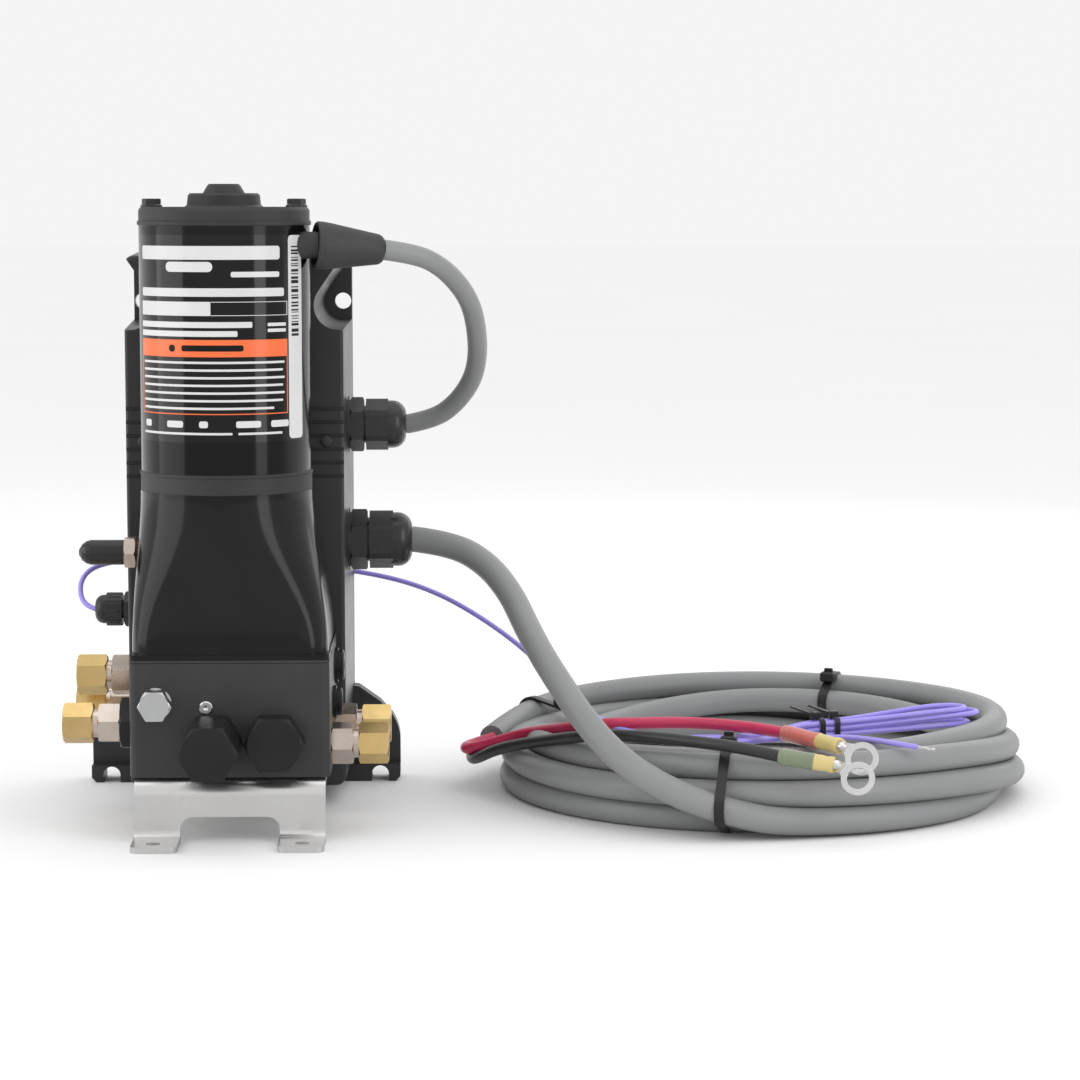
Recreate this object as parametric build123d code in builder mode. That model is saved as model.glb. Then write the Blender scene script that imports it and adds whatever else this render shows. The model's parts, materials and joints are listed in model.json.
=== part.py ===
from build123d import *
from math import acos, cos, degrees, hypot, pi, radians, sin, sqrt, tan
import os

os.makedirs("parts", exist_ok=True)

# Power assist steering unit: an electric motor on an oil reservoir and valve block, with its
# control case behind and its coiled leads beside it. Millimetres, +Z up, the front faces -Y.
# The origin is on the floor, midway between the two foot screw holes.

# Foot bracket, folded from one stainless sheet
sheet = 3.0
bracket_width = 91.6
bracket_height = 31.0
bracket_length = 86.0
top_bend = 5.5
foot_bend = 3.0
foot_width = 22.0
foot_toe = 9.0
foot_hole_dia = 6.7
foot_hole_spacing = 70.6
hole_to_web = 16.5
arch_height = 12.5
arch_corner = 6.0

# Valve block
block_width = 96.0
block_depth = 95.0
block_height = 55.7
block_corner = 4.0
edge_break = 0.6
gallery_dia = 6.0
gallery_length = 24.0

# Reservoir
gasket_thickness = 1.0
lip_height = 2.7
reservoir_height = 78.3
reservoir_wall = 3.0
reservoir_foot_corner = 13.0
reservoir_inset = 0.8
spigot_length = 4.0
fit_gap = 0.05

# Motor
motor_offset = -3.5
motor_setback = 50.0
can_dia = 83.0
can_wall = 3.0
can_length = 118.8
end_ring_dia = 84.4
drive_end_height = 9.7
cap_height = 8.9
cap_lip = 2.0
boss_dia = 36.0
boss_height = 6.6
cover_height = 4.5
cover_base_dia = 20.4
cover_top_dia = 15.8
shaft_dia = 10.0
core_dia = 58.0
core_length = 62.0
core_slots = 12
magnet_length = 72.0
magnet_thickness = 7.0
magnet_span = 104.0
bolt_inset = 3.3
bolt_dia = 5.0
bolt_head_flats = 8.0
bolt_head_height = 4.0
air_gap = 1.2
commutator_dia = 26.0
commutator_length = 16.0
bearing_dia = 26.0
bearing_width = 8.0
running_gap = 0.04

# Gear pump, in the oil
gear_teeth = 10
gear_module = 2.0
gear_shift = 0.5
gear_centres = 21.64
gear_width = 14.0
gear_tip_dia = 25.44
gear_root_dia = 16.96
backlash = 0.24
pump_wall = 5.0
pump_floor = 8.0
pump_cover_height = 10.0
pump_depth = 38.0
pump_clearance = 0.1

# Control case, die cast with draft, and what it holds
case_offset = -2.5
case_width = 109.8
case_height = 270.0
case_depth = 80.0
case_foot_gap = 9.0
case_wall = 4.0
case_draft = 1.7
case_edge = 2.0
case_corner = 5.0
back_plate_thickness = 2.5
ear_thickness = 6.0
ear_hole_dia = 8.5
ear_hole_inset = 2.4
ear_hole_drop = 25.0
ear_pocket_radius = 12.3
ear_pocket_draft = 2.2
groove_count = 6
groove_pitch = 6.82
groove_width = 2.0
groove_depth = 1.6
groove_middle = 185.0
lug_reach = 81.6
lug_height = 49.6
lug_thickness = 11.5
lug_pad_depth = 8.0
lug_pad_height = 9.0
lug_slot_out = 71.0
lug_slot_width = 9.0
lug_slot_height = 8.4
board_thickness = 1.6
board_before_middle = 20.0
board_standoff = case_depth / 2 - board_before_middle

# Leads and what is on them
power_cable_dia = 13.5
motor_lead_dia = 10.0
core_wire_dia = 6.0
signal_wire_dia = 2.7
coil_outer_radius = 137.0
coil_bundle_width = 32.0
coil_height = 40.5
coil_low_height = 21.0
coil_rise_length = 59.0
coil_centre_x = 266.0
coil_centre_y = 157.0
tie_width = 4.8
tie_thickness = 1.3
sleeve_dia = 8.2
ring_terminal_dia = 16.5
ring_terminal_hole = 10.4
ring_terminal_thickness = 1.2

# Places worked out from the sizes above
web_front = hole_to_web
block_front = web_front + sheet
block_middle = block_front + block_depth / 2
block_back = block_front + block_depth
block_top = bracket_height + block_height
lip_base = block_top + gasket_thickness
reservoir_top = lip_base + reservoir_height
can_base = reservoir_top + drive_end_height
can_top = can_base + can_length
cap_top = can_top + cap_height
motor_y = block_front + motor_setback
case_front = block_back
case_back = case_front + case_depth
case_base = case_foot_gap
case_top = case_base + case_height
gland_y = case_front + case_depth / 2


def save(piece, name):
    """Label a finished piece and write it as its own file."""
    piece.part.label = name
    export_step(piece.part, f"parts/{name}.step")


def across(x, y, z, way):
    """A plane that faces along +X (way 1) or -X (way -1)."""
    return Plane(origin=(x, y, z), x_dir=(0, way, 0), z_dir=(way, 0, 0))


def facing(x, y, z):
    """A plane that faces the front, -Y."""
    return Plane(origin=(x, y, z), x_dir=(1, 0, 0), z_dir=(0, -1, 0))


def turned(plane, outline):
    """Turn (radius, distance) corners about the plane's normal."""
    with BuildPart() as piece:
        with BuildSketch(Plane(plane.origin, x_dir=plane.x_dir, z_dir=-plane.y_dir)):
            with BuildLine():
                Polyline(*outline, close=True)
            make_face()
        revolve(axis=Axis(plane.origin, plane.z_dir))
    return piece.part


def hex_bar(plane, flats, length, bevel, turn=0):
    """A length of hexagon bar whose corners are turned off at both ends."""
    corner = flats / sqrt(3)
    rise = bevel * tan(radians(30))
    with BuildPart() as bar:
        add(turned(plane, [(0, 0), (corner - bevel, 0), (corner, rise), (corner, length - rise),
                           (corner - bevel, length), (0, length)]))
        with BuildSketch(plane):
            RegularPolygon(radius=flats / 2, side_count=6, major_radius=False, rotation=turn)
        extrude(amount=length, mode=Mode.INTERSECT)
    return bar.part


def corner_radii(points):
    """For each corner of a cord's route, the largest arc that its two runs leave room for."""
    radii = []
    for before, corner, after in zip(points, points[1:], points[2:]):
        run_in = Vector(*corner) - Vector(*before)
        run_out = Vector(*after) - Vector(*corner)
        half_turn = radians(run_in.get_angle(run_out)) / 2
        radii.append(0.45 * min(run_in.length, run_out.length) / tan(half_turn))
    return radii


def cord_tube(name, points, diameter):
    """A round cord along straight runs joined by tangent arcs."""
    radii = corner_radii(points)
    with BuildPart() as cord:
        with BuildLine():
            route = FilletPolyline(*points, radius=radii)
        with BuildSketch(Plane(origin=route @ 0, z_dir=route % 0)):
            Circle(diameter / 2)
        sweep(path=route)
    expected = route.length * pi * diameter ** 2 / 4
    print(name, "length", round(route.length), "volume ratio", round(cord.part.volume / expected, 4),
          "radii", [round(radius) for radius in radii])
    save(cord, name)


# The foot bracket: toes forward, a web, and a top flange that carries the block
flange_back = web_front + bracket_length
block_screw_places = [(x, y) for x in (-36, 36) for y in (block_front + 12, flange_back - 16)]
block_screw_dia = 6.0
with BuildPart() as foot_bracket:
    with BuildSketch(Plane.YZ) as side:
        with Locations((web_front, 0)):
            Rectangle(sheet, bracket_height, align=(Align.MIN, Align.MIN))
        with Locations((web_front, bracket_height)):
            Rectangle(bracket_length, sheet, align=(Align.MIN, Align.MAX))
        with Locations((block_front, 0)):
            Rectangle(foot_toe + block_front, sheet, align=(Align.MAX, Align.MIN))
        fillet(side.vertices().sort_by_distance((web_front, bracket_height, 0))[0], top_bend + sheet)
        fillet(side.vertices().sort_by_distance((block_front, bracket_height - sheet, 0))[0], top_bend)
        fillet(side.vertices().sort_by_distance((web_front, sheet, 0))[0], foot_bend)
        fillet(side.vertices().sort_by_distance((block_front, 0, 0))[0], foot_bend + sheet)
    extrude(amount=bracket_width / 2, both=True)
    with BuildSketch(Plane.XZ.offset(foot_toe)) as arch:
        Rectangle(bracket_width - 2 * foot_width, 2 * arch_height)
        fillet(arch.vertices(), arch_corner)
    extrude(amount=-(foot_toe + flange_back), mode=Mode.SUBTRACT)
    toes = foot_bracket.edges().filter_by(Axis.Z).group_by(Axis.Y)[0]
    fillet(toes, 4)
    with Locations((-foot_hole_spacing / 2, 0), (foot_hole_spacing / 2, 0)):
        Hole(foot_hole_dia / 2, depth=2 * sheet)
    with BuildSketch(Plane.XY.offset(bracket_height)):
        with Locations(*block_screw_places):
            Circle(block_screw_dia / 2 + 0.3)
    extrude(amount=-sheet, mode=Mode.SUBTRACT)
    fillet(foot_bracket.edges().filter_by(Axis.Z).group_by(Axis.Y)[-1], 3)
save(foot_bracket, "foot_bracket")

# Places of the ports, in the block's width, depth and height
upper_plug_dia = 18.0
fitting_flats = 17.5
port_bore_dia = 13.0
port_depth = 13.0
port_low = 54.0
port_high = 73.0
right_port_height = 43.5
port_front_y = motor_y - 26
port_middle_y = motor_y + 5
port_back_y = motor_y + 31
cartridge_x = -7.7
check_plug_x = 21.9
front_port_height = 49.0
cartridge_bore_dia = 20.0
check_bore_dia = 20.0
front_port_depth = 20.0
port_plug_x = -34.9
port_plug_height = 67.4
port_plug_bore_dia = 10.0
bleed_x = -11.1
bleed_height = 65.1
bleed_dia = 6.5
side_plug_bore_dia = 14.0
side_plug_depth = 11.0
upper_plug_place = (motor_y + 24, 74.5)
lower_plug_place = (motor_y - 4, 60.5)
left_ports = [(port_front_y, port_low), (port_middle_y, port_high), (port_back_y, port_low)]
right_ports = [(port_front_y, right_port_height), (port_back_y, right_port_height)]
gear_pocket_radius = gear_tip_dia / 2 + pump_clearance
pump_length = gear_centres + 2 * (gear_pocket_radius + pump_wall)
pump_middle_x = motor_offset + gear_centres / 2
pump_screw_places = [(pump_middle_x + sx * (pump_length / 2 - 5), motor_y + sy * (pump_depth / 2 - 5))
                     for sx in (-1, 1) for sy in (-1, 1)]
pump_screw_dia = 5.0
case_screw_places = [(-30, 42), (30, 42), (-30, 76), (30, 76)]
case_screw_dia = 5.0

# The valve block, machined from bar, with its drilled ports
with BuildPart() as valve_block:
    with BuildSketch(Plane.XY.offset(bracket_height)) as footprint:
        with Locations((0, block_middle)):
            RectangleRounded(block_width, block_depth, block_corner)
    extrude(amount=block_height)
    chamfer(valve_block.faces().sort_by(Axis.Z)[-1].edges(), edge_break)
    chamfer(valve_block.faces().sort_by(Axis.Z)[0].edges(), edge_break)
    for way, ports in ((-1, left_ports), (1, right_ports)):
        for port_y, port_z in ports:
            with BuildSketch(across(way * block_width / 2, port_y, port_z, way)):
                Circle(port_bore_dia / 2)
            extrude(amount=-port_depth, mode=Mode.SUBTRACT)
            with BuildSketch(across(way * (block_width / 2 - port_depth), port_y, port_z, way)):
                Circle(gallery_dia / 2)
            extrude(amount=-gallery_length, mode=Mode.SUBTRACT)
    for port_y, port_z in (upper_plug_place, lower_plug_place):
        with BuildSketch(across(block_width / 2, port_y, port_z, 1)):
            Circle(side_plug_bore_dia / 2)
        extrude(amount=-side_plug_depth, mode=Mode.SUBTRACT)
    for port_x, port_z, bore, depth in ((cartridge_x, front_port_height, cartridge_bore_dia, front_port_depth),
                                        (check_plug_x, front_port_height, check_bore_dia, front_port_depth),
                                        (port_plug_x, port_plug_height, port_plug_bore_dia, port_depth),
                                        (bleed_x, bleed_height, bleed_dia, port_depth)):
        with BuildSketch(facing(port_x, block_front, port_z)):
            Circle(bore / 2)
        extrude(amount=-depth, mode=Mode.SUBTRACT)
    with BuildSketch(Plane.XY.offset(bracket_height)):
        with Locations(*block_screw_places):
            Circle(block_screw_dia / 2 + fit_gap)
    extrude(amount=14, mode=Mode.SUBTRACT)
    with BuildSketch(Plane.XY.offset(block_top)):
        with Locations(*pump_screw_places):
            Circle(pump_screw_dia / 2 + fit_gap)
    extrude(amount=-9, mode=Mode.SUBTRACT)
    with BuildSketch(facing(0, block_back, 0)):
        with Locations(*case_screw_places):
            Circle(case_screw_dia / 2 + fit_gap)
    extrude(amount=12, mode=Mode.SUBTRACT)
save(valve_block, "valve_block")

# Four cap screws that hold the block on its bracket
with BuildPart() as bracket_screws:
    for x, y in block_screw_places:
        with BuildSketch(Plane.XY.offset(bracket_height - sheet)):
            with Locations((x, y)):
                Circle(5.0)
        extrude(amount=-4.5)
        with BuildSketch(Plane.XY.offset(bracket_height - sheet)):
            with Locations((x, y)):
                Circle(block_screw_dia / 2)
        extrude(amount=15)
        with BuildSketch(Plane.XY.offset(bracket_height - sheet - 4.5)):
            with Locations((x, y)):
                RegularPolygon(radius=2.5, side_count=6, major_radius=False)
        extrude(amount=2.5, mode=Mode.SUBTRACT)
save(bracket_screws, "bracket_screws")

# What closes the ports on the front face
cartridge_flats = 25.4
cartridge_reach = 40.0
with BuildPart() as relief_cartridge:
    add(hex_bar(facing(cartridge_x, block_front - 3, front_port_height), cartridge_flats,
                cartridge_reach - 3, 2.0, turn=0))
    add(turned(facing(cartridge_x, block_front, front_port_height),
               [(0, -front_port_depth + 1), (cartridge_bore_dia / 2 - 1.5, -front_port_depth + 1),
                (cartridge_bore_dia / 2 - fit_gap, -front_port_depth + 3),
                (cartridge_bore_dia / 2 - fit_gap, 0), (cartridge_flats / 2 - 0.4, 0),
                (cartridge_flats / 2 - 0.4, 3), (0, 3)]))
save(relief_cartridge, "relief_cartridge")

check_plug_reach = 15.0
with BuildPart() as check_plug:
    add(hex_bar(facing(check_plug_x, block_front - 2, front_port_height), cartridge_flats,
                check_plug_reach - 2, 2.0, turn=0))
    add(turned(facing(check_plug_x, block_front, front_port_height),
               [(0, -front_port_depth + 1), (check_bore_dia / 2 - 1.5, -front_port_depth + 1),
                (check_bore_dia / 2 - fit_gap, -front_port_depth + 3),
                (check_bore_dia / 2 - fit_gap, 0), (cartridge_flats / 2 - 0.6, 0),
                (cartridge_flats / 2 - 0.6, 2), (0, 2)]))
save(check_plug, "check_plug")

port_plug_flats = 14.0
port_plug_reach = 12.0
with BuildPart() as port_plug:
    add(hex_bar(facing(port_plug_x, block_front - 2, port_plug_height), port_plug_flats,
                port_plug_reach - 2, 1.0, turn=0))
    add(turned(facing(port_plug_x, block_front, port_plug_height),
               [(0, -port_depth + 1), (port_plug_bore_dia / 2 - fit_gap, -port_depth + 1),
                (port_plug_bore_dia / 2 - fit_gap, 0), (port_plug_flats / 2 + 0.6, 0),
                (port_plug_flats / 2 + 0.6, 2), (0, 2)]))
save(port_plug, "port_plug")

with BuildPart() as bleed_pin:
    add(turned(facing(bleed_x, block_front, bleed_height),
               [(0, -port_depth + 2), (bleed_dia / 2 - fit_gap, -port_depth + 2),
                (bleed_dia / 2 - fit_gap, 0.7), (bleed_dia / 2 - 0.6, 1.2), (1.2, 1.2), (0, 0.3)]))
save(bleed_pin, "bleed_pin")

# Two black plugs on the right face
side_plug_reach = 4.6
with BuildPart() as side_plugs:
    for place, flange in ((upper_plug_place, upper_plug_dia), (lower_plug_place, upper_plug_dia - 2)):
        plane = across(block_width / 2, place[0], place[1], 1)
        add(turned(plane, [(0, -side_plug_depth + 1), (side_plug_bore_dia / 2 - fit_gap, -side_plug_depth + 1),
                           (side_plug_bore_dia / 2 - fit_gap, 0), (flange / 2, 0), (flange / 2, 1.6),
                           (flange / 2 - 1.1, 2.0), (flange / 2 - 1.1, side_plug_reach - 0.8),
                           (flange / 2 - 1.9, side_plug_reach), (0, side_plug_reach)]))
        with BuildSketch(across(block_width / 2 + side_plug_reach, place[0], place[1], 1)):
            RegularPolygon(radius=3, side_count=6, major_radius=False)
        extrude(amount=-3.6, mode=Mode.SUBTRACT)
save(side_plugs, "side_plugs")

# Tube fittings: a body in the port and a nut that clamps the tube
neck_dia = 14.2
neck_length = 10.0
tube_dia = 9.7
nut_length = 14.6
body_hex_length = 10.7
body_flats = 18.0
spacer_length = {"left_front": 6.0, "left_middle": 2.4, "left_rear": 6.0,
                 "right_front": 0.0, "right_rear": 0.0}
fittings = [("left_front", -1, port_front_y, port_low, 12), ("left_middle", -1, port_middle_y, port_high, 20),
            ("left_rear", -1, port_back_y, port_low, 31), ("right_front", 1, port_front_y, right_port_height, 8),
            ("right_rear", 1, port_back_y, right_port_height, 24)]
nut_gap = 2.6
with BuildPart() as fitting_bodies:
    for name, way, port_y, port_z, turn in fittings:
        spacer = spacer_length[name]
        face = way * block_width / 2
        hex_start = across(face + way * spacer, port_y, port_z, way)
        add(hex_bar(hex_start, body_flats, body_hex_length, 1.2, turn=turn))
        add(turned(hex_start, [(0, -spacer - port_depth + 1), (port_bore_dia / 2 - fit_gap, -spacer - port_depth + 1),
                               (port_bore_dia / 2 - fit_gap, 1), (0, 1)]))
        add(turned(hex_start, [(0, body_hex_length - 1), (neck_dia / 2, body_hex_length - 1),
                               (neck_dia / 2, body_hex_length + neck_length - 0.8),
                               (neck_dia / 2 - 0.8, body_hex_length + neck_length),
                               (0, body_hex_length + neck_length)]))
        with BuildSketch(across(face - way * (port_depth - 1), port_y, port_z, way)):
            Circle(gallery_dia / 2)
        extrude(amount=spacer + port_depth + body_hex_length + neck_length, mode=Mode.SUBTRACT)
        with BuildSketch(across(face + way * (spacer + body_hex_length + 2), port_y, port_z, way)):
            Circle(tube_dia / 2)
        extrude(amount=neck_length, mode=Mode.SUBTRACT)
save(fitting_bodies, "fitting_bodies")

with BuildPart() as fitting_nuts:
    for name, way, port_y, port_z, turn in fittings:
        nut_start = across(way * (block_width / 2 + spacer_length[name] + body_hex_length + nut_gap), port_y, port_z, way)
        add(hex_bar(nut_start, fitting_flats, nut_length, 1.3, turn=turn + 14))
        add(turned(nut_start, [(0, -1), (neck_dia / 2 + fit_gap, -1),
                               (neck_dia / 2 + fit_gap, neck_length - nut_gap + 1),
                               (tube_dia / 2, neck_length - nut_gap + 3), (tube_dia / 2, nut_length + 1),
                               (0, nut_length + 1)]), mode=Mode.SUBTRACT)
save(fitting_nuts, "fitting_nuts")

# The black nuts and discs between the left fittings and the block
bulkhead_flats = 24.0
disc_dia = 23.0
with BuildPart() as left_spacers:
    for name, way, port_y, port_z, turn in fittings:
        length = spacer_length[name]
        start = across(way * block_width / 2, port_y, port_z, way)
        if length > 3:
            add(hex_bar(start, bulkhead_flats, length, 1.8, turn=turn))
        elif length > 0:
            add(turned(start, [(0, 0), (disc_dia / 2, 0), (disc_dia / 2, length), (0, length)]))
    for name, way, port_y, port_z, turn in fittings:
        if spacer_length[name] > 0:
            with BuildSketch(across(way * block_width / 2, port_y, port_z, way)):
                Circle(port_bore_dia / 2)
            extrude(amount=spacer_length[name], mode=Mode.SUBTRACT)
save(left_spacers, "left_spacers")

# The reservoir: a moulded shell that turns from the block's rectangle into the motor's circle
with BuildPart() as reservoir_gasket:
    with BuildSketch(Plane.XY.offset(block_top)):
        with Locations((0, block_middle)):
            RectangleRounded(block_width, block_depth, block_corner)
            RectangleRounded(block_width - 12, block_depth - 12, block_corner, mode=Mode.SUBTRACT)
    extrude(amount=gasket_thickness)
save(reservoir_gasket, "reservoir_gasket")


def reservoir_section(share, wall):
    """One level of the reservoir: share 0 is the block's outline, share 1 the motor's circle."""
    blend = share * share * (3 - 2 * share)
    foot_half_width = block_width / 2 - reservoir_inset
    foot_half_depth = block_depth / 2 - reservoir_inset
    ring_radius = end_ring_dia / 2 - 0.2
    half_width = foot_half_width + (ring_radius - foot_half_width) * blend - wall
    half_depth = foot_half_depth + (ring_radius - foot_half_depth) * blend - wall
    round_share = blend ** 1.2
    corner = reservoir_foot_corner + (ring_radius - reservoir_foot_corner) * round_share - wall
    corner = min(corner, half_width - 0.15, half_depth - 0.15)
    middle_x = motor_offset * blend
    middle_y = block_middle + (motor_y - block_middle) * blend
    level = lip_base + lip_height + (reservoir_height - lip_height) * share
    with BuildSketch(Plane.XY.offset(level)) as section:
        with Locations((middle_x, middle_y)):
            RectangleRounded(2 * half_width, 2 * half_depth, corner)
    return section.sketch


vent_height = 134.5
vent_bore_dia = 8.0
section_shares = (0, 0.2, 0.4, 0.6, 0.8, 1)
with BuildPart() as reservoir:
    loft([reservoir_section(share, 0) for share in section_shares])
    with BuildSketch(Plane.XY.offset(lip_base)):
        with Locations((0, block_middle)):
            RectangleRounded(block_width, block_depth, block_corner)
    extrude(amount=lip_height)
    loft([reservoir_section(share, reservoir_wall) for share in section_shares], mode=Mode.SUBTRACT)
    with BuildSketch(Plane.XY.offset(lip_base)):
        with Locations((0, block_middle)):
            RectangleRounded(block_width - 2 * reservoir_wall - 2 * reservoir_inset,
                             block_depth - 2 * reservoir_wall - 2 * reservoir_inset,
                             reservoir_foot_corner - reservoir_wall)
    extrude(amount=lip_height, mode=Mode.SUBTRACT)
    with BuildSketch(across(motor_offset, motor_y, vent_height, -1)):
        Circle(vent_bore_dia / 2)
    extrude(amount=block_width / 2, mode=Mode.SUBTRACT)
    with BuildSketch(Plane.XY.offset(reservoir_top)):
        with Locations((motor_offset, motor_y)):
            Circle(can_dia / 2 - can_wall)
    extrude(amount=-spigot_length - 1, mode=Mode.SUBTRACT)
save(reservoir, "reservoir")

# The vent on the reservoir's left flank, under a vinyl cap
vent_flats = 14.3
vent_seat = 46.6
vent_hex_length = 5.5
with BuildPart() as vent_fitting:
    vent_plane = across(-vent_seat, motor_y, vent_height, -1)
    add(turned(vent_plane, [(0, -8), (vent_bore_dia / 2 - fit_gap, -8), (vent_bore_dia / 2 - fit_gap, 0),
                            (5.4, 0), (5.9, 1.0), (5.4, 2.0), (0, 2.0)]))
    add(hex_bar(across(-vent_seat - 1.8, motor_y, vent_height, -1), vent_flats, vent_hex_length, 0.9, turn=0))
    add(turned(vent_plane, [(0, vent_hex_length), (4.2, vent_hex_length), (4.2, 17), (3.4, 18), (0, 18)]))
save(vent_fitting, "vent_fitting")

vent_cap_dia = 12.3
vent_cap_length = 22.6
with BuildPart() as vent_cap:
    cap_plane = across(-vent_seat - 1.8 - vent_hex_length, motor_y, vent_height, -1)
    add(turned(cap_plane, [(4.2 + fit_gap, 0), (vent_cap_dia / 2, 0), (vent_cap_dia / 2, vent_cap_length - 6),
                           (vent_cap_dia / 2 - 0.6, vent_cap_length - 3.8),
                           (vent_cap_dia / 2 - 2.0, vent_cap_length - 1.8), (1.6, vent_cap_length - 0.2),
                           (0, vent_cap_length), (0, 13.5), (4.2 + fit_gap, 13.5)]))
save(vent_cap, "vent_cap")

# Drive end of the motor, spigoted into the reservoir and the can
motor_plane = Plane(origin=(motor_offset, motor_y, 0), x_dir=(1, 0, 0), z_dir=(0, 0, 1))
can_bore_radius = can_dia / 2 - can_wall
bolt_out = can_bore_radius - bolt_inset
bolt_places = [(motor_offset - bolt_out, motor_y), (motor_offset + bolt_out, motor_y)]
bearing_bore = bearing_dia / 2 + fit_gap
seal_dia = 20.0
seal_height = 4.0
ring_radius = end_ring_dia / 2
with BuildPart() as drive_end:
    add(turned(motor_plane, [
        (shaft_dia / 2 + 0.4, reservoir_top - spigot_length - 4), (seal_dia / 2 + 5, reservoir_top - spigot_length - 4),
        (seal_dia / 2 + 5, reservoir_top - spigot_length), (can_bore_radius - fit_gap, reservoir_top - spigot_length),
        (can_bore_radius - fit_gap, reservoir_top), (ring_radius - 0.4, reservoir_top),
        (ring_radius - 0.4, can_base - 1.8), (ring_radius, can_base - 1.4), (ring_radius, can_base - 0.4),
        (ring_radius - 0.6, can_base), (can_bore_radius - fit_gap, can_base),
        (can_bore_radius - fit_gap, can_base + 3), (can_bore_radius - 3, can_base + 3),
        (can_bore_radius - 3, can_base), (bearing_bore, can_base), (bearing_bore, can_base - bearing_width),
        (shaft_dia / 2 + 0.4, can_base - bearing_width)]))
    add(turned(motor_plane, [(0, reservoir_top - spigot_length - 4), (seal_dia / 2 + fit_gap, reservoir_top - spigot_length - 4),
                             (seal_dia / 2 + fit_gap, reservoir_top - spigot_length - 4 + seal_height),
                             (0, reservoir_top - spigot_length - 4 + seal_height)]), mode=Mode.SUBTRACT)
    with BuildSketch(Plane.XY.offset(can_base + 3)):
        with Locations(*bolt_places):
            Circle(bolt_dia / 2 + fit_gap)
    extrude(amount=-11, mode=Mode.SUBTRACT)
save(drive_end, "drive_end")

# The can, a drawn steel tube with a hole for the lead
lead_exit_y = motor_y - 14.0
lead_exit_z = 285.0
grommet_dia = 13.0
with BuildPart() as motor_can:
    with BuildSketch(Plane.XY.offset(can_base)):
        with Locations((motor_offset, motor_y)):
            Circle(can_dia / 2)
            Circle(can_bore_radius, mode=Mode.SUBTRACT)
    extrude(amount=can_length)
    with BuildSketch(across(motor_offset, lead_exit_y, lead_exit_z, 1)):
        Circle(grommet_dia / 2 + fit_gap)
    extrude(amount=can_dia, mode=Mode.SUBTRACT)
save(motor_can, "motor_can")

# The end cap, cast with a boss for the upper bearing
upper_bearing_dia = 22.0
upper_bearing_width = 7.0
boss_top = cap_top + boss_height
with BuildPart() as end_cap:
    add(turned(motor_plane, [
        (shaft_dia / 2 - 1, can_top - 2), (upper_bearing_dia / 2 + 4, can_top - 2), (upper_bearing_dia / 2 + 4, can_top + 2),
        (can_bore_radius - 3, can_top + 2), (can_bore_radius - 3, can_top - 3),
        (can_bore_radius - fit_gap, can_top - 3), (can_bore_radius - fit_gap, can_top),
        (ring_radius - 0.5, can_top), (ring_radius, can_top + 0.4), (ring_radius, can_top + cap_lip),
        (ring_radius - 0.7, can_top + cap_lip + 0.4), (ring_radius - 0.7, cap_top - 1.6),
        (ring_radius - 1.9, cap_top), (boss_dia / 2 + 1.2, cap_top), (boss_dia / 2, cap_top + 1.0),
        (boss_dia / 2 - 0.5, boss_top - 1.0), (boss_dia / 2 - 1.5, boss_top),
        (cover_base_dia / 2 + 0.3, boss_top), (cover_base_dia / 2 + 0.3, boss_top - 2),
        (shaft_dia / 2 - 1, boss_top - 2)]))
    add(turned(motor_plane, [(0, can_top - 2), (upper_bearing_dia / 2 + fit_gap, can_top - 2),
                             (upper_bearing_dia / 2 + fit_gap, can_top - 2 + upper_bearing_width),
                             (0, can_top - 2 + upper_bearing_width)]), mode=Mode.SUBTRACT)
    with BuildSketch(Plane.XY.offset(can_top - 3)):
        with Locations(*bolt_places):
            Circle(bolt_dia / 2 + 0.15)
    extrude(amount=cap_height + 4, mode=Mode.SUBTRACT)
save(end_cap, "end_cap")

with BuildPart() as bearing_cover:
    add(turned(motor_plane, [(0, boss_top - 2), (cover_base_dia / 2, boss_top - 2), (cover_base_dia / 2, boss_top),
                             (cover_top_dia / 2 + 0.3, boss_top + cover_height - 1),
                             (cover_top_dia / 2 - 0.7, boss_top + cover_height),
                             (3.2, boss_top + cover_height), (2.6, boss_top + cover_height - 0.6),
                             (0, boss_top + cover_height - 0.6)]))
save(bearing_cover, "bearing_cover")

# Two long bolts that pull the cap and drive end together
with BuildPart() as motor_bolts:
    for x, y in bolt_places:
        head = Plane(origin=(x, y, cap_top), x_dir=(1, 0, 0), z_dir=(0, 0, 1))
        add(turned(head, [(0, 0), (5.3, 0), (5.3, 0.7), (4.3, 1.4), (0, 1.4)]))
        add(hex_bar(Plane(origin=(x, y, cap_top + 1), x_dir=(1, 0, 0), z_dir=(0, 0, 1)),
                    bolt_head_flats, bolt_head_height - 1, 0.6, turn=0))
        with BuildSketch(Plane.XY.offset(cap_top)):
            with Locations((x, y)):
                Circle(bolt_dia / 2)
        extrude(amount=-(cap_height + can_length + 7))
save(motor_bolts, "motor_bolts")

# Inside the can: two arc magnets, the brush ring and the bearings
core_base = can_base + 24
with BuildPart() as field_magnets:
    for middle in (90, 270):
        with BuildSketch(Plane.XY.offset(core_base - 5)):
            with Locations((motor_offset, motor_y)):
                with BuildLine():
                    outer = CenterArc((motor_offset, motor_y), can_bore_radius - fit_gap,
                                      middle - magnet_span / 2, magnet_span)
                    inner = CenterArc((motor_offset, motor_y), can_bore_radius - magnet_thickness,
                                      middle - magnet_span / 2, magnet_span)
                    Line(outer @ 0, inner @ 0)
                    Line(outer @ 1, inner @ 1)
                make_face()
        extrude(amount=magnet_length)
save(field_magnets, "field_magnets")

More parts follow.
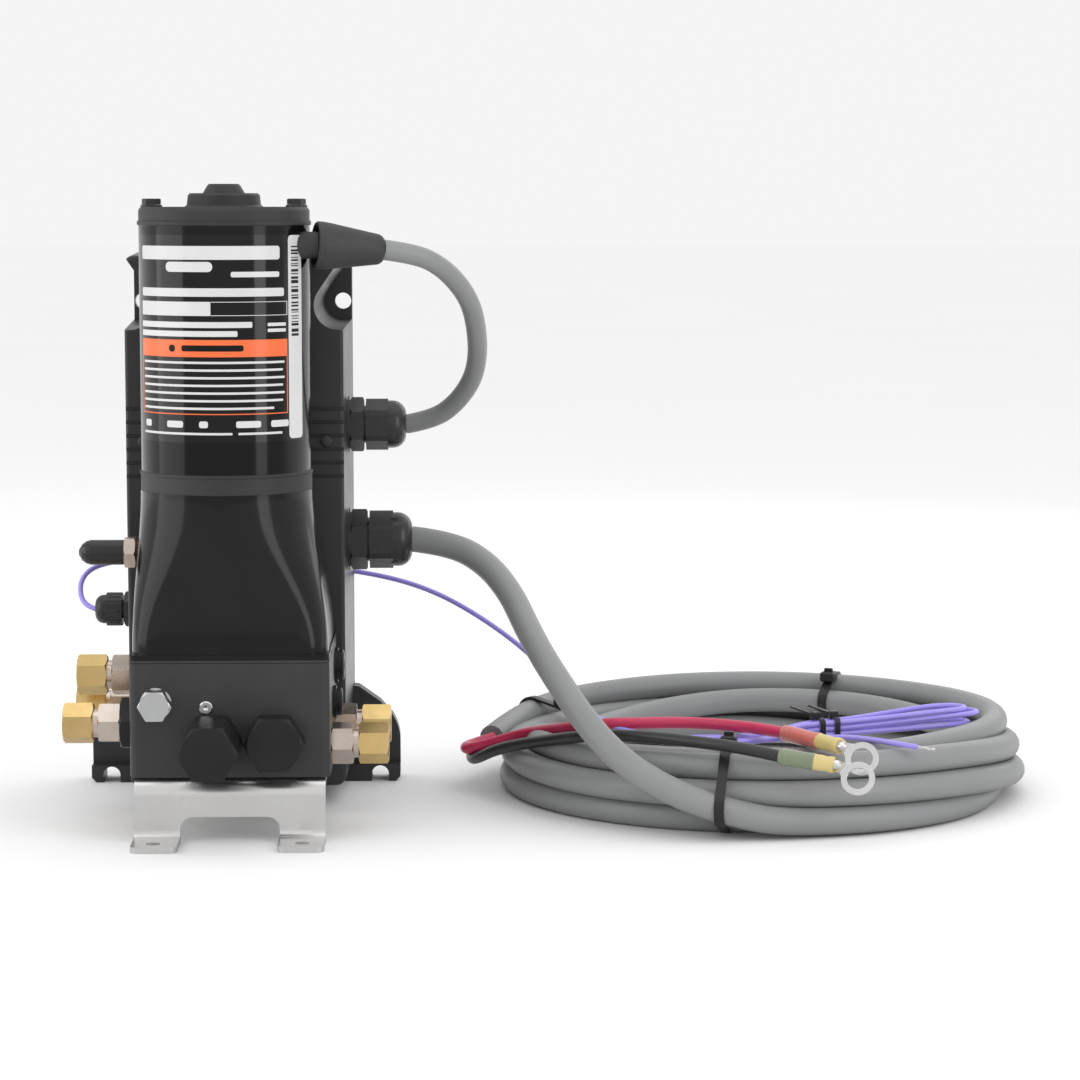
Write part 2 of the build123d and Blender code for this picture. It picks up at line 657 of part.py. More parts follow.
brush_ring_base = core_base + core_length + 10.5
brush_clearance = 0.3
with BuildPart() as brush_ring:
    with BuildSketch(Plane.XY.offset(brush_ring_base)):
        with Locations((motor_offset, motor_y)):
            Circle(can_bore_radius - fit_gap)
            Circle(commutator_dia / 2 + 2.5, mode=Mode.SUBTRACT)
        with Locations(*bolt_places):
            Circle(bolt_dia / 2 + 0.3, mode=Mode.SUBTRACT)
    extrude(amount=2.5)
    with BuildSketch(Plane.XY.offset(brush_ring_base)):
        with Locations((motor_offset, motor_y)):
            with PolarLocations(commutator_dia / 2 + 11, 4, start_angle=45):
                Rectangle(16, 10)
                Rectangle(17, 6, mode=Mode.SUBTRACT)
    extrude(amount=9)
save(brush_ring, "brush_ring")

with BuildPart() as brushes:
    with BuildSketch(Plane.XY.offset(brush_ring_base + 2.7)):
        with Locations((motor_offset, motor_y)):
            with PolarLocations(commutator_dia / 2 + brush_clearance + 6, 4, start_angle=45):
                Rectangle(12, 5.8)
    extrude(amount=6)
save(brushes, "brushes")

with BuildPart() as motor_bearings:
    for base, outside, bore, width in ((can_base - bearing_width, bearing_dia, shaft_dia, bearing_width),
                                       (can_top - 2, upper_bearing_dia, shaft_dia - 2, upper_bearing_width)):
        inner, outer = bore / 2 + running_gap, outside / 2
        land = (outer - inner) * 0.3
        add(turned(motor_plane, [(inner, base), (inner + land, base), (inner + land, base + 0.6),
                                 (outer - land, base + 0.6), (outer - land, base), (outer, base),
                                 (outer, base + width), (outer - land, base + width),
                                 (outer - land, base + width - 0.6), (inner + land, base + width - 0.6),
                                 (inner + land, base + width), (inner, base + width)]))
save(motor_bearings, "motor_bearings")

with BuildPart() as shaft_seal:
    seal_base = reservoir_top - spigot_length - 4
    add(turned(motor_plane, [(shaft_dia / 2 + running_gap, seal_base), (seal_dia / 2, seal_base),
                             (seal_dia / 2, seal_base + seal_height), (shaft_dia / 2 + 2, seal_base + seal_height),
                             (shaft_dia / 2 + 2, seal_base + 1.5), (shaft_dia / 2 + running_gap, seal_base + 1.5)]))
save(shaft_seal, "shaft_seal")

# The armature, from the coupling up to the cap bearing
coupling_base = block_top + pump_floor + gear_width + pump_cover_height + 6
coupling_length = 22.0
coupling_dia = 19.0
shaft_foot = coupling_base + coupling_length / 2 + 0.5
core_radius = can_bore_radius - magnet_thickness - air_gap
with BuildPart() as armature:
    with BuildSketch(Plane.XY.offset(core_base)) as laminations:
        with Locations((motor_offset, motor_y)):
            Circle(core_radius)
            with PolarLocations(core_radius - 5, core_slots):
                Rectangle(12, 3.2, mode=Mode.SUBTRACT)
    extrude(amount=core_length)
    add(turned(motor_plane, [(0, shaft_foot), (shaft_dia / 2, shaft_foot), (shaft_dia / 2, can_top - 6),
                             (shaft_dia / 2 - 1, can_top - 6), (shaft_dia / 2 - 1, can_top + 5.5), (0, can_top + 5.5)]))
    for start in (core_base - 9, core_base + core_length):
        add(turned(motor_plane, [(0, start), (core_radius - 8, start), (core_radius - 6, start + 2),
                                 (core_radius - 6, start + 7), (core_radius - 8, start + 9), (0, start + 9)]))
save(armature, "armature")

with BuildPart() as commutator:
    commutator_base = core_base + core_length + 9 + 0.5
    with BuildSketch(Plane.XY.offset(commutator_base)):
        with Locations((motor_offset, motor_y)):
            Circle(commutator_dia / 2)
            Circle(shaft_dia / 2, mode=Mode.SUBTRACT)
            with PolarLocations(commutator_dia / 2, core_slots):
                Rectangle(2, 0.8, mode=Mode.SUBTRACT)
    extrude(amount=commutator_length)
save(commutator, "commutator")

with BuildPart() as coupling:
    with BuildSketch(Plane.XY.offset(coupling_base)):
        with Locations((motor_offset, motor_y)):
            Circle(coupling_dia / 2)
            Circle(shaft_dia / 2, mode=Mode.SUBTRACT)
    extrude(amount=coupling_length)
    chamfer(coupling.edges().filter_by(GeomType.CIRCLE).sort_by(SortBy.RADIUS)[-2:], 1)
save(coupling, "coupling")


def gear_outline(turn):
    """Corners of an involute spur gear, relative to its centre, one tooth pointing at turn degrees."""
    pitch_radius = gear_module * gear_teeth / 2
    base_radius = pitch_radius * cos(radians(20))
    half_tooth = (pi / 2 + 2 * gear_shift * tan(radians(20))) / gear_teeth - backlash / 4 / pitch_radius
    at_pitch = tan(radians(20)) - radians(20)
    levels = [base_radius + (gear_tip_dia / 2 - base_radius) * step / 5 for step in range(6)]
    flank = [(gear_root_dia / 2, half_tooth + at_pitch)]
    for radius in levels:
        pressure = acos(min(1, base_radius / radius))
        flank.append((radius, half_tooth + at_pitch - (tan(pressure) - pressure)))
    corners = []
    for tooth in range(gear_teeth):
        middle = radians(turn) + 2 * pi * tooth / gear_teeth
        corners += [(radius * cos(middle - angle), radius * sin(middle - angle)) for radius, angle in flank]
        corners += [(radius * cos(middle + angle), radius * sin(middle + angle)) for radius, angle in flank[::-1]]
    return corners


# The pump: two meshed gears between a housing on the block and a cover
pump_top = block_top + pump_floor + gear_width + 2 * pump_clearance
driven_x = motor_offset + gear_centres
stub_dia = 9.0
for name, centre_x, turn, foot, head, journal in (
        ("drive_gear", motor_offset, 0, block_top + 1, shaft_foot - 1, shaft_dia),
        ("driven_gear", driven_x, 180 / gear_teeth, block_top + 1, pump_top + pump_cover_height - 2, stub_dia)):
    with BuildPart() as gear:
        with BuildSketch(Plane.XY.offset(block_top + pump_floor + pump_clearance)):
            with Locations((centre_x, motor_y)):
                Polygon(*gear_outline(turn), align=None)
        extrude(amount=gear_width)
        with BuildSketch(Plane.XY.offset(foot)):
            with Locations((centre_x, motor_y)):
                Circle(stub_dia / 2)
        extrude(amount=pump_floor)
        with BuildSketch(Plane.XY.offset(block_top + pump_floor + 1)):
            with Locations((centre_x, motor_y)):
                Circle(journal / 2)
        extrude(amount=head - block_top - pump_floor - 1)
    save(gear, name)

with BuildPart() as pump_housing:
    with BuildSketch(Plane.XY.offset(block_top)) as housing_outline:
        with Locations((pump_middle_x, motor_y)):
            RectangleRounded(pump_length, pump_depth, 9)
    extrude(amount=pump_floor + gear_width + 2 * pump_clearance)
    with BuildSketch(Plane.XY.offset(block_top + pump_floor)):
        with Locations((motor_offset, motor_y), (driven_x, motor_y)):
            Circle(gear_pocket_radius)
    extrude(amount=gear_width + 2 * pump_clearance, mode=Mode.SUBTRACT)
    with BuildSketch(Plane.XY.offset(block_top)):
        with Locations((motor_offset, motor_y), (driven_x, motor_y)):
            Circle(stub_dia / 2 + running_gap)
        with Locations(*pump_screw_places):
            Circle(pump_screw_dia / 2 + 0.2)
    extrude(amount=pump_floor + gear_width + 2 * pump_clearance, mode=Mode.SUBTRACT)
save(pump_housing, "pump_housing")

with BuildPart() as pump_cover:
    with BuildSketch(Plane.XY.offset(pump_top)):
        with Locations((pump_middle_x, motor_y)):
            RectangleRounded(pump_length, pump_depth, 9)
        with Locations((motor_offset, motor_y)):
            Circle(shaft_dia / 2 + running_gap, mode=Mode.SUBTRACT)
        with Locations((driven_x, motor_y)):
            Circle(stub_dia / 2 + running_gap, mode=Mode.SUBTRACT)
        with Locations(*pump_screw_places):
            Circle(pump_screw_dia / 2 + 0.2, mode=Mode.SUBTRACT)
    extrude(amount=pump_cover_height)
save(pump_cover, "pump_cover")

with BuildPart() as pump_screws:
    screw_plane = Plane.XY.offset(pump_top + pump_cover_height)
    with BuildSketch(screw_plane):
        with Locations(*pump_screw_places):
            Circle(4.2)
    extrude(amount=4)
    with BuildSketch(screw_plane):
        with Locations(*pump_screw_places):
            Circle(pump_screw_dia / 2)
    extrude(amount=-(pump_top + pump_cover_height - block_top + 8))
save(pump_screws, "pump_screws")

strainer_dia = 16.0
strainer_y = motor_y - pump_depth / 2 - strainer_dia / 2
with BuildPart() as suction_strainer:
    strainer_plane = Plane(origin=(pump_middle_x, strainer_y, block_top), x_dir=(1, 0, 0), z_dir=(0, 0, 1))
    add(turned(strainer_plane, [(3, 0), (strainer_dia / 2, 0), (strainer_dia / 2, 3), (strainer_dia / 2 - 1, 4),
                                (strainer_dia / 2 - 1, 20), (0, 20), (0, 18.5), (5.5, 18.5), (5.5, 3), (3, 3)]))
save(suction_strainer, "suction_strainer")

# The control case. Its outline is drawn about its own centre line.
case_plane = Plane(origin=(case_offset, case_front, 0), x_dir=(1, 0, 0), z_dir=(0, -1, 0))
pocket_centre = (case_width / 2 - ear_hole_inset, case_top - ear_hole_drop)
lean = radians(34.6)
half_case = case_width / 2
cavity_half = half_case - case_wall - 0.4
shoulder = case_top - ear_hole_drop - ear_pocket_radius - case_wall
neck_half = pocket_centre[0] - ear_pocket_radius - case_wall - 2
boss_places = [(side * (cavity_half - 4.5), level) for side in (-1, 1)
               for level in (case_base + 12, case_base + 146, shoulder - 6)]
boss_places += [(side * (neck_half - 4.5), case_top - 12) for side in (-1, 1)]
front_screw_inset = 8.9
front_screw_out = half_case - front_screw_inset
with BuildPart() as controller_case:
    with BuildSketch(case_plane) as outline:
        with Locations((0, (case_base + case_top) / 2)):
            RectangleRounded(case_width, case_height, case_corner)
    extrude(amount=-case_depth, taper=-case_draft)
    fillet(controller_case.faces().sort_by(Axis.Y)[0].edges(), case_edge)
    with BuildSketch(case_plane.offset(0.2)):
        for side in (-1, 1):
            tangent = (side * (pocket_centre[0] - ear_pocket_radius * cos(lean)),
                       pocket_centre[1] + ear_pocket_radius * sin(lean))
            rise = case_top + 4 - tangent[1]
            with Locations((side * pocket_centre[0], pocket_centre[1])):
                Circle(ear_pocket_radius)
            with BuildLine():
                Polyline(tangent, (tangent[0] + side * rise * tan(lean), case_top + 4),
                         (side * (half_case + 12), case_top + 4),
                         (side * (half_case + 12), pocket_centre[1] - ear_pocket_radius),
                         (side * pocket_centre[0], pocket_centre[1] - ear_pocket_radius),
                         (side * pocket_centre[0], pocket_centre[1]), close=True)
            make_face()
    extrude(amount=-(case_depth - ear_thickness + 0.2), taper=ear_pocket_draft, mode=Mode.SUBTRACT)
    with BuildSketch(case_plane):
        with Locations((-pocket_centre[0], pocket_centre[1]), pocket_centre):
            Circle(ear_hole_dia / 2)
    extrude(amount=-case_depth - 1, mode=Mode.SUBTRACT)
    with BuildSketch(case_plane):
        with Locations((0, groove_middle)):
            with GridLocations(1, groove_pitch, 1, groove_count):
                Rectangle(case_width + 2, groove_width)
    extrude(amount=-groove_depth, mode=Mode.SUBTRACT)
    with BuildSketch(case_plane.offset(-(case_depth - lug_thickness))) as lugs:
        for side in (-1, 1):
            with BuildLine():
                Polyline((side * (half_case - 6), lug_height + 1), (side * 59.8, lug_height),
                         (side * 71.0, 41.6), (side * 77.5, 34.5))
                RadiusArc((side * 77.5, 34.5), (side * lug_reach, 21.0), side * 24)
                Polyline((side * lug_reach, 21.0), (side * lug_reach, 2.5), (side * (lug_reach - 2.5), 0),
                         (side * 54.5, 0))
                RadiusArc((side * 54.5, 0), (side * 47.0, 7.5), side * 7.5)
                Polyline((side * 47.0, 7.5), (side * (half_case - 6), 12), (side * (half_case - 6), lug_height + 1))
            make_face()
    extrude(amount=-lug_thickness)
    with BuildSketch(case_plane.offset(-(case_depth - lug_thickness - lug_pad_depth))) as pads:
        for side in (-1, 1):
            with BuildLine():
                Polyline((side * lug_reach, lug_pad_height), (side * lug_reach, 2.5), (side * (lug_reach - 2.5), 0),
                         (side * 54.5, 0))
                RadiusArc((side * 54.5, 0), (side * 47.0, 7.5), side * 7.5)
                Polyline((side * 47.0, 7.5), (side * 48.0, lug_pad_height), (side * lug_reach, lug_pad_height))
            make_face()
    extrude(amount=-lug_pad_depth - 1)
    with BuildSketch(case_plane):
        for side in (-1, 1):
            with Locations((side * lug_slot_out, lug_slot_height - lug_slot_width / 2)):
                Circle(lug_slot_width / 2)
            with Locations((side * lug_slot_out, 0)):
                Rectangle(lug_slot_width, 2 * (lug_slot_height - lug_slot_width / 2))
    extrude(amount=-case_depth - 1, mode=Mode.SUBTRACT)
    with BuildSketch(case_plane.offset(-case_wall)):
        with Locations((0, (case_base + case_wall + shoulder) / 2)):
            RectangleRounded(2 * cavity_half, shoulder - case_base - case_wall, 4)
        with Locations((0, (case_top - case_wall + shoulder) / 2 - 5)):
            RectangleRounded(2 * neck_half, case_top - case_wall - shoulder + 10, 4)
    extrude(amount=-(case_depth - case_wall), mode=Mode.SUBTRACT)
    with BuildSketch(case_plane.offset(-case_wall)):
        with Locations(*boss_places):
            Circle(4.4)
    extrude(amount=-(case_depth - case_wall - back_plate_thickness))
    with BuildSketch(case_plane.offset(-(case_depth - back_plate_thickness))):
        with Locations((0, (case_base + case_wall + shoulder) / 2)):
            RectangleRounded(2 * cavity_half + 3, shoulder - case_base - case_wall + 3, 5.5)
        with Locations((0, (case_top - case_wall + shoulder) / 2 - 5)):
            RectangleRounded(2 * neck_half + 3, case_top - case_wall - shoulder + 13, 5.5)
    extrude(amount=-back_plate_thickness - 1, mode=Mode.SUBTRACT)
    with BuildSketch(case_plane.offset(-(case_depth - 14))):
        with Locations(*boss_places):
            Circle(1.7)
    extrude(amount=-16, mode=Mode.SUBTRACT)
    with BuildSketch(case_plane):
        with Locations((-front_screw_out, groove_middle + 0.6), (front_screw_out, groove_middle + 0.6)):
            Circle(2.1)
        with Locations(*[(x - case_offset, z) for x, z in case_screw_places]):
            Circle(case_screw_dia / 2 + 0.25)
    extrude(amount=-case_wall, mode=Mode.SUBTRACT)

# Cable glands on the case's sides: name, side, height, thread, hexagon, nut, dome and cable sizes
glands = [("motor_gland", 1, 191.3, 20.0, 24.4, 6.9, 11.4, 9.3, 24.6, motor_lead_dia),
          ("power_gland", 1, 131.4, 24.0, 27.4, 8.4, 12.2, 9.9, 28.0, power_cable_dia),
          ("signal_gland", -1, 95.3, 12.0, 16.0, 3.4, 8.4, 5.8, 15.0, signal_wire_dia)]
draft_at_gland = case_depth / 2 * tan(radians(case_draft))
washer_thickness = 1.5
gland_ends = {}
with BuildPart() as drilled_case:
    add(controller_case.part)
    for name, way, height, thread, flats, hex_length, nut_length_x, dome, dome_dia, cable in glands:
        with BuildSketch(across(case_offset + way * (cavity_half - 1), gland_y, height, way)):
            Circle(thread / 2 + 0.2)
        extrude(amount=12, mode=Mode.SUBTRACT)
        seat = half_case + draft_at_gland - 0.3
        with BuildSketch(across(case_offset + way * seat, gland_y, height, way)):
            Circle(flats / sqrt(3) + 0.6)
        extrude(amount=6, mode=Mode.SUBTRACT)
save(drilled_case, "controller_case")

gland_seat = half_case + draft_at_gland - 0.3
with BuildPart() as gland_bodies:
    for name, way, height, thread, flats, hex_length, nut_length_x, dome, dome_dia, cable in glands:
        start = across(case_offset + way * gland_seat, gland_y, height, way)
        hole = cable / 2 + 0.15
        body_end = washer_thickness + hex_length
        inner_reach = gland_seat - cavity_half + 9
        add(hex_bar(across(case_offset + way * (gland_seat + washer_thickness), gland_y, height, way), flats,
                    hex_length, 1.2, turn=90))
        add(turned(start, [(hole, -inner_reach), (thread / 2, -inner_reach), (thread / 2, washer_thickness + 1),
                           (hole, washer_thickness + 1)]))
        add(turned(start, [(hole, body_end - 1), (dome_dia / 2 - 2.6, body_end - 1),
                           (dome_dia / 2 - 2.6, body_end + 7), (hole, body_end + 7)]))
        with BuildSketch(start):
            Circle(hole)
        extrude(amount=body_end + 8, mode=Mode.SUBTRACT)
save(gland_bodies, "gland_bodies")

dome_steps = 6
with BuildPart() as gland_nuts:
    for name, way, height, thread, flats, hex_length, nut_length_x, dome, dome_dia, cable in glands:
        start = across(case_offset + way * gland_seat, gland_y, height, way)
        hole = cable / 2 + 0.15
        nut_start = washer_thickness + hex_length + 1.0
        dome_start = nut_start + nut_length_x
        tip = dome_start + dome
        gland_ends[name] = case_offset + way * (gland_seat + tip)
        nut_plane = across(case_offset + way * (gland_seat + nut_start), gland_y, height, way)
        add(hex_bar(nut_plane, flats, nut_length_x, 1.0, turn=90))
        with BuildSketch(nut_plane):
            with PolarLocations(flats / sqrt(3), 6, start_angle=30):
                Rectangle(1.8, flats * 0.14)
        extrude(amount=nut_length_x, mode=Mode.SUBTRACT)
        angles = [pi / 2 * step / dome_steps for step in range(dome_steps, -1, -1)]
        dome_curve = [(dome_dia / 2 - 0.75 * dome * (1 - sin(angle)), tip - 0.75 * dome * (1 - cos(angle)))
                      for angle in angles]
        add(turned(start, [(0, dome_start - 1), (dome_dia / 2, dome_start - 1)] + dome_curve + [(0, tip)]))
        add(turned(start, [(0, nut_start - 1), (dome_dia / 2 - 2.6 + fit_gap, nut_start - 1),
                           (dome_dia / 2 - 2.6 + fit_gap, dome_start), (hole + 1.5, dome_start + 2),
                           (hole, dome_start + 2), (hole, tip + 1), (0, tip + 1)]), mode=Mode.SUBTRACT)
save(gland_nuts, "gland_nuts")

with BuildPart() as gland_washers:
    for name, way, height, thread, flats, hex_length, nut_length_x, dome, dome_dia, cable in glands:
        start = across(case_offset + way * (half_case + draft_at_gland - 0.3), gland_y, height, way)
        add(turned(start, [(thread / 2 + fit_gap, 0), (flats / 2 + 0.4, 0), (flats / 2 + 0.4, washer_thickness),
                           (thread / 2 + fit_gap, washer_thickness)]))
save(gland_washers, "gland_washers")

with BuildPart() as gland_locknuts:
    for name, way, height, thread, flats, hex_length, nut_length_x, dome, dome_dia, cable in glands:
        start = across(case_offset + way * cavity_half, gland_y, height, -way)
        add(hex_bar(start, flats, 4.5, 1.0, turn=90))
    for name, way, height, thread, flats, hex_length, nut_length_x, dome, dome_dia, cable in glands:
        with BuildSketch(across(case_offset + way * cavity_half, gland_y, height, -way)):
            Circle(thread / 2 + fit_gap)
        extrude(amount=5, mode=Mode.SUBTRACT)
save(gland_locknuts, "gland_locknuts")

# The back plate and its screws
with BuildPart() as back_plate:
    with BuildSketch(case_plane.offset(-(case_depth - back_plate_thickness))):
        with Locations((0, (case_base + case_wall + shoulder) / 2)):
            RectangleRounded(2 * cavity_half + 2.6, shoulder - case_base - case_wall + 2.6, 5.3)
        with Locations((0, (case_top - case_wall + shoulder) / 2 - 5)):
            RectangleRounded(2 * neck_half + 2.6, case_top - case_wall - shoulder + 12.6, 5.3)
        with Locations(*boss_places):
            Circle(2.2, mode=Mode.SUBTRACT)
    extrude(amount=-back_plate_thickness)
save(back_plate, "back_plate")

with BuildPart() as back_plate_screws:
    head_plane = case_plane.offset(-case_depth)
    with BuildSketch(head_plane):
        with Locations(*boss_places):
            Circle(3.6)
    extrude(amount=-2.2)
    chamfer(back_plate_screws.edges().group_by(Axis.Y)[-1], 0.7)
    with BuildSketch(head_plane):
        with Locations(*boss_places):
            Circle(1.6)
    extrude(amount=12)
save(back_plate_screws, "back_plate_screws")

# Screws through the case's front wall: two small ones among the ribs, four into the block
with BuildPart() as case_screws:
    for side in (-1, 1):
        add(turned(facing(case_offset + side * front_screw_out, case_front, groove_middle + 0.6),
                   [(0, -case_wall - 8), (1.9, -case_wall - 8), (1.9, 0), (2.8, 0), (2.8, 0.9), (2.1, 1.7), (0, 1.9)]))
    for x, z in case_screw_places:
        add(turned(Plane(origin=(x, case_front + case_wall, z), x_dir=(1, 0, 0), z_dir=(0, 1, 0)),
                   [(0, -15), (case_screw_dia / 2, -15), (case_screw_dia / 2, 0), (4.3, 0), (4.3, 4.5), (0, 4.5)]))
save(case_screws, "case_screws")

# Electronics: a heat spreader on the front wall, power transistors on it, and the board on posts
spreader_height = 42.0
spreader_depth = 8.0
transistor_depth = 4.8
spreader_back = case_front + case_wall + spreader_depth
board_front = case_front + case_wall + board_standoff
board_half = cavity_half - 9.6
with BuildPart() as heat_spreader:
    with BuildSketch(case_plane.offset(-case_wall)):
        with Locations((0, groove_middle)):
            RectangleRounded(2 * board_half + 9, spreader_height, 2)
        with Locations((-front_screw_out, groove_middle + 0.6), (front_screw_out, groove_middle + 0.6)):
            Circle(1.95, mode=Mode.SUBTRACT)
    extrude(amount=-spreader_depth)
    with BuildSketch(case_plane.offset(-case_wall - spreader_depth)):
        with Locations((-board_half + 4, groove_middle), (board_half - 4, groove_middle)):
            Rectangle(8, spreader_height)
    extrude(amount=-(board_standoff - spreader_depth))
save(heat_spreader, "heat_spreader")

transistor_margin = 14.9
transistor_pitch = (board_half - transistor_margin) / 2
with BuildPart() as power_transistors:
    with BuildSketch(case_plane.offset(-case_wall - spreader_depth)):
        with Locations((0, groove_middle)):
            with GridLocations(transistor_pitch, 21, 5, 2):
                Rectangle(10, 16)
    extrude(amount=-transistor_depth)
    with BuildSketch(case_plane.offset(-case_wall - spreader_depth - transistor_depth)):
        with Locations((0, groove_middle)):
            with GridLocations(transistor_pitch, 21, 5, 2):
                with GridLocations(2.5, 1, 3, 1):
                    Rectangle(1, 1)
    extrude(amount=-(board_standoff - spreader_depth - transistor_depth))
save(power_transistors, "power_transistors")

with BuildPart() as circuit_board:
    with BuildSketch(case_plane.offset(-case_wall - board_standoff)):
        with Locations((0, 150)):
            RectangleRounded(2 * board_half, 150, 2)
    extrude(amount=-board_thickness)
save(circuit_board, "circuit_board")

with BuildPart() as capacitors:
    with BuildSketch(case_plane.offset(-case_wall - board_standoff - board_thickness)):
        with Locations((0, 105)):
            with GridLocations(20, 20, 3, 2):
                Circle(8)
    extrude(amount=-26)
save(capacitors, "capacitors")

# The rubber boot over the motor's lead, its grommet, and the lead round to its gland
boot_turn = 14.0
boot_droop = -4.0
boot_length = 33.5
boot_mouth = 11.6
boot_neck = 6.5
boot_standoff = 3.2
boot_axis = (cos(radians(boot_turn)) * cos(radians(boot_droop)), sin(radians(boot_turn)) * cos(radians(boot_droop)),
             sin(radians(boot_droop)))
boot_start = Vector(motor_offset + can_dia / 2 + boot_standoff, lead_exit_y, lead_exit_z)
boot_plane = Plane(origin=boot_start, x_dir=(-sin(radians(boot_turn)), cos(radians(boot_turn)), 0), z_dir=boot_axis)
lead_hole = motor_lead_dia / 2 + 0.15
with BuildPart() as cable_boot:
    add(turned(boot_plane, [
        (boot_mouth - 1.8, 0), (boot_mouth - 0.5, 0), (boot_mouth, 0.8), (boot_mouth, 3.5), (boot_mouth - 0.4, 7),
        (boot_neck + 0.9, boot_length - 2.4), (boot_neck + 0.2, boot_length - 0.9), (boot_neck - 0.8, boot_length),
        (lead_hole, boot_length), (lead_hole, boot_length - 8), (boot_mouth - 2.6, 8), (boot_mouth - 1.8, 3.5)]))
save(cable_boot, "cable_boot")

with BuildPart() as lead_grommet:
    grommet_plane = across(can_dia / 2 + motor_offset - 8, lead_exit_y, lead_exit_z, 1)
    add(turned(grommet_plane, [(0, 0), (grommet_dia / 2, 0), (grommet_dia / 2, 13), (grommet_dia / 2 - 1.5, 15),
                               (0, 15)]))
save(lead_grommet, "lead_grommet")

boot_end = boot_start + Vector(*boot_axis) * boot_length
motor_gland_end = (gland_ends["motor_gland"], gland_y, 191.3)
cord_tube("motor_lead", [
    tuple(boot_end), (89.0, 69.3, 280.6), (100.8, 76.5, 275.2), (110.8, 87.0, 265.4), (117.0, 98.4, 254.4),
    (119.6, 109.4, 241.6), (120.3, 120.9, 228.6), (117.6, 133.4, 215.0), (108.6, 144.4, 202.1),
    (97.3, 151.2, 194.0), motor_gland_end], motor_lead_dia)

# The power cable from its gland down to the floor in front of its coil
power_gland_end = (gland_ends["power_gland"], gland_y, 131.4)
cord_tube("power_cable", [
    power_gland_end, (107.6, 147.4, 129.6), (125.3, 134.2, 120.4), (137.0, 118.4, 107.0), (144.0, 101.2, 93.2),
    (151.8, 83.3, 80.0), (160.8, 66.0, 67.4), (170.6, 49.4, 54.4), (182.8, 34.4, 41.2), (199.1, 22.9, 29.7),
    (219.3, 15.3, 20.5), (241.8, 14.0, 13.3), (263.8, 19.0, 9.0)], power_cable_dia)


def coil_top(x):
    """Height of the coil, which is lower on its left side, where its turns fan out."""
    left = coil_centre_x - coil_outer_radius
    return min(coil_height, coil_low_height + (coil_height - coil_low_height) * (x - left) / coil_rise_length)


coil_inner_radius = coil_outer_radius - coil_bundle_width
with BuildPart() as power_cable_coil:
    with BuildSketch():
        with Locations((coil_centre_x, coil_centre_y)):
            Circle(coil_outer_radius)
            Circle(coil_inner_radius, mode=Mode.SUBTRACT)
    extrude(amount=coil_height)
    fillet(power_cable_coil.edges().filter_by(GeomType.CIRCLE).group_by(Axis.Z)[0], 6)
    fillet(power_cable_coil.edges().filter_by(GeomType.CIRCLE).group_by(Axis.Z)[-1], 6)
    with BuildSketch(Plane.XZ.offset(-coil_centre_y + coil_outer_radius + 1)):
        left_end = coil_centre_x - coil_outer_radius
        Polygon((left_end - 1, coil_top(left_end - 1)), (left_end + coil_rise_length, coil_height),
                (left_end + coil_rise_length, coil_height + 5), (left_end - 1, coil_height + 5), align=None)
    extrude(amount=-2 * coil_outer_radius - 2, mode=Mode.SUBTRACT)
save(power_cable_coil, "power_cable_coil")

# The two conductors that leave the far end of the power cable
red_sleeve_start = (271.0, 57.5, 44.9)
red_sleeve_end = (293.6, 17.0, 45.2)
black_sleeve_start = (263.4, 13.5, 41.3)
black_sleeve_end = (289.2, 5.5, 38.2)
cord_tube("red_wire", [
    (129, 178.5, 25.3), (120.5, 173.5, 24.6), (115.2, 164.5, 23.8), (118.0, 155.0, 24.2), (128.5, 151.0, 26.2),
    (144, 144, 30.6), (158, 127, 35.4), (172, 108, 40.2), (187, 97.5, 43.4), (204, 95, 43.9), (220, 97, 43.9),
    (236, 92.5, 43.9), (251, 82, 44.2), (262.5, 70.5, 44.6), red_sleeve_start], core_wire_dia)
cord_tube("black_wire", [
    (130, 187, 24.2), (121, 183.0, 21.8), (114.8, 173.0, 18.5), (114.4, 158.0, 16.8), (119.8, 144.0, 19.6),
    (129, 130, 24.6), (145, 112, 31.2), (163, 85, 38.2), (182, 63, 43.6), (204, 48, 45.0), (225.5, 31.5, 45.2),
    (246, 18.5, 44.6), black_sleeve_start], core_wire_dia)

red_ring_centre = Vector(302.4, 6.5, 41.0)
black_ring_centre = Vector(298.8, -7.5, 34.0)
ring_facing = Vector(-0.25, -0.85, 0.45)
sleeved_ends = ((red_sleeve_start, red_sleeve_end, red_ring_centre),
                (black_sleeve_start, black_sleeve_end, black_ring_centre))
with BuildPart() as wire_sleeves:
    for start, end, centre in sleeved_ends:
        along = Vector(*end) - Vector(*start)
        length = along.length
        add(turned(Plane(origin=start, z_dir=along.normalized()),
                   [(0, 0), (sleeve_dia / 2 - 0.3, 0), (sleeve_dia / 2, 1.0), (sleeve_dia / 2, length * 0.62),
                    (sleeve_dia / 2 + 0.5, length * 0.66), (sleeve_dia / 2 + 0.4, length - 1.5),
                    (sleeve_dia / 2 - 0.6, length), (0, length)]))
save(wire_sleeves, "wire_sleeves")

with BuildPart() as ring_terminals:
    for start, end, centre in sleeved_ends:
        reach = centre - Vector(*end)
        tongue = reach.normalized()
        face = (ring_facing - tongue * ring_facing.dot(tongue)).normalized()
        with BuildSketch(Plane(origin=centre, x_dir=tongue, z_dir=face)):
            Circle(ring_terminal_dia / 2)
            Polygon((-reach.length, -2.6), (-ring_terminal_dia * 0.2, -ring_terminal_dia * 0.42),
                    (-ring_terminal_dia * 0.2, ring_terminal_dia * 0.42), (-reach.length, 2.6), align=None)
            Circle(ring_terminal_hole / 2, mode=Mode.SUBTRACT)
        extrude(amount=ring_terminal_thickness / 2, both=True)
save(ring_terminals, "ring_terminals")

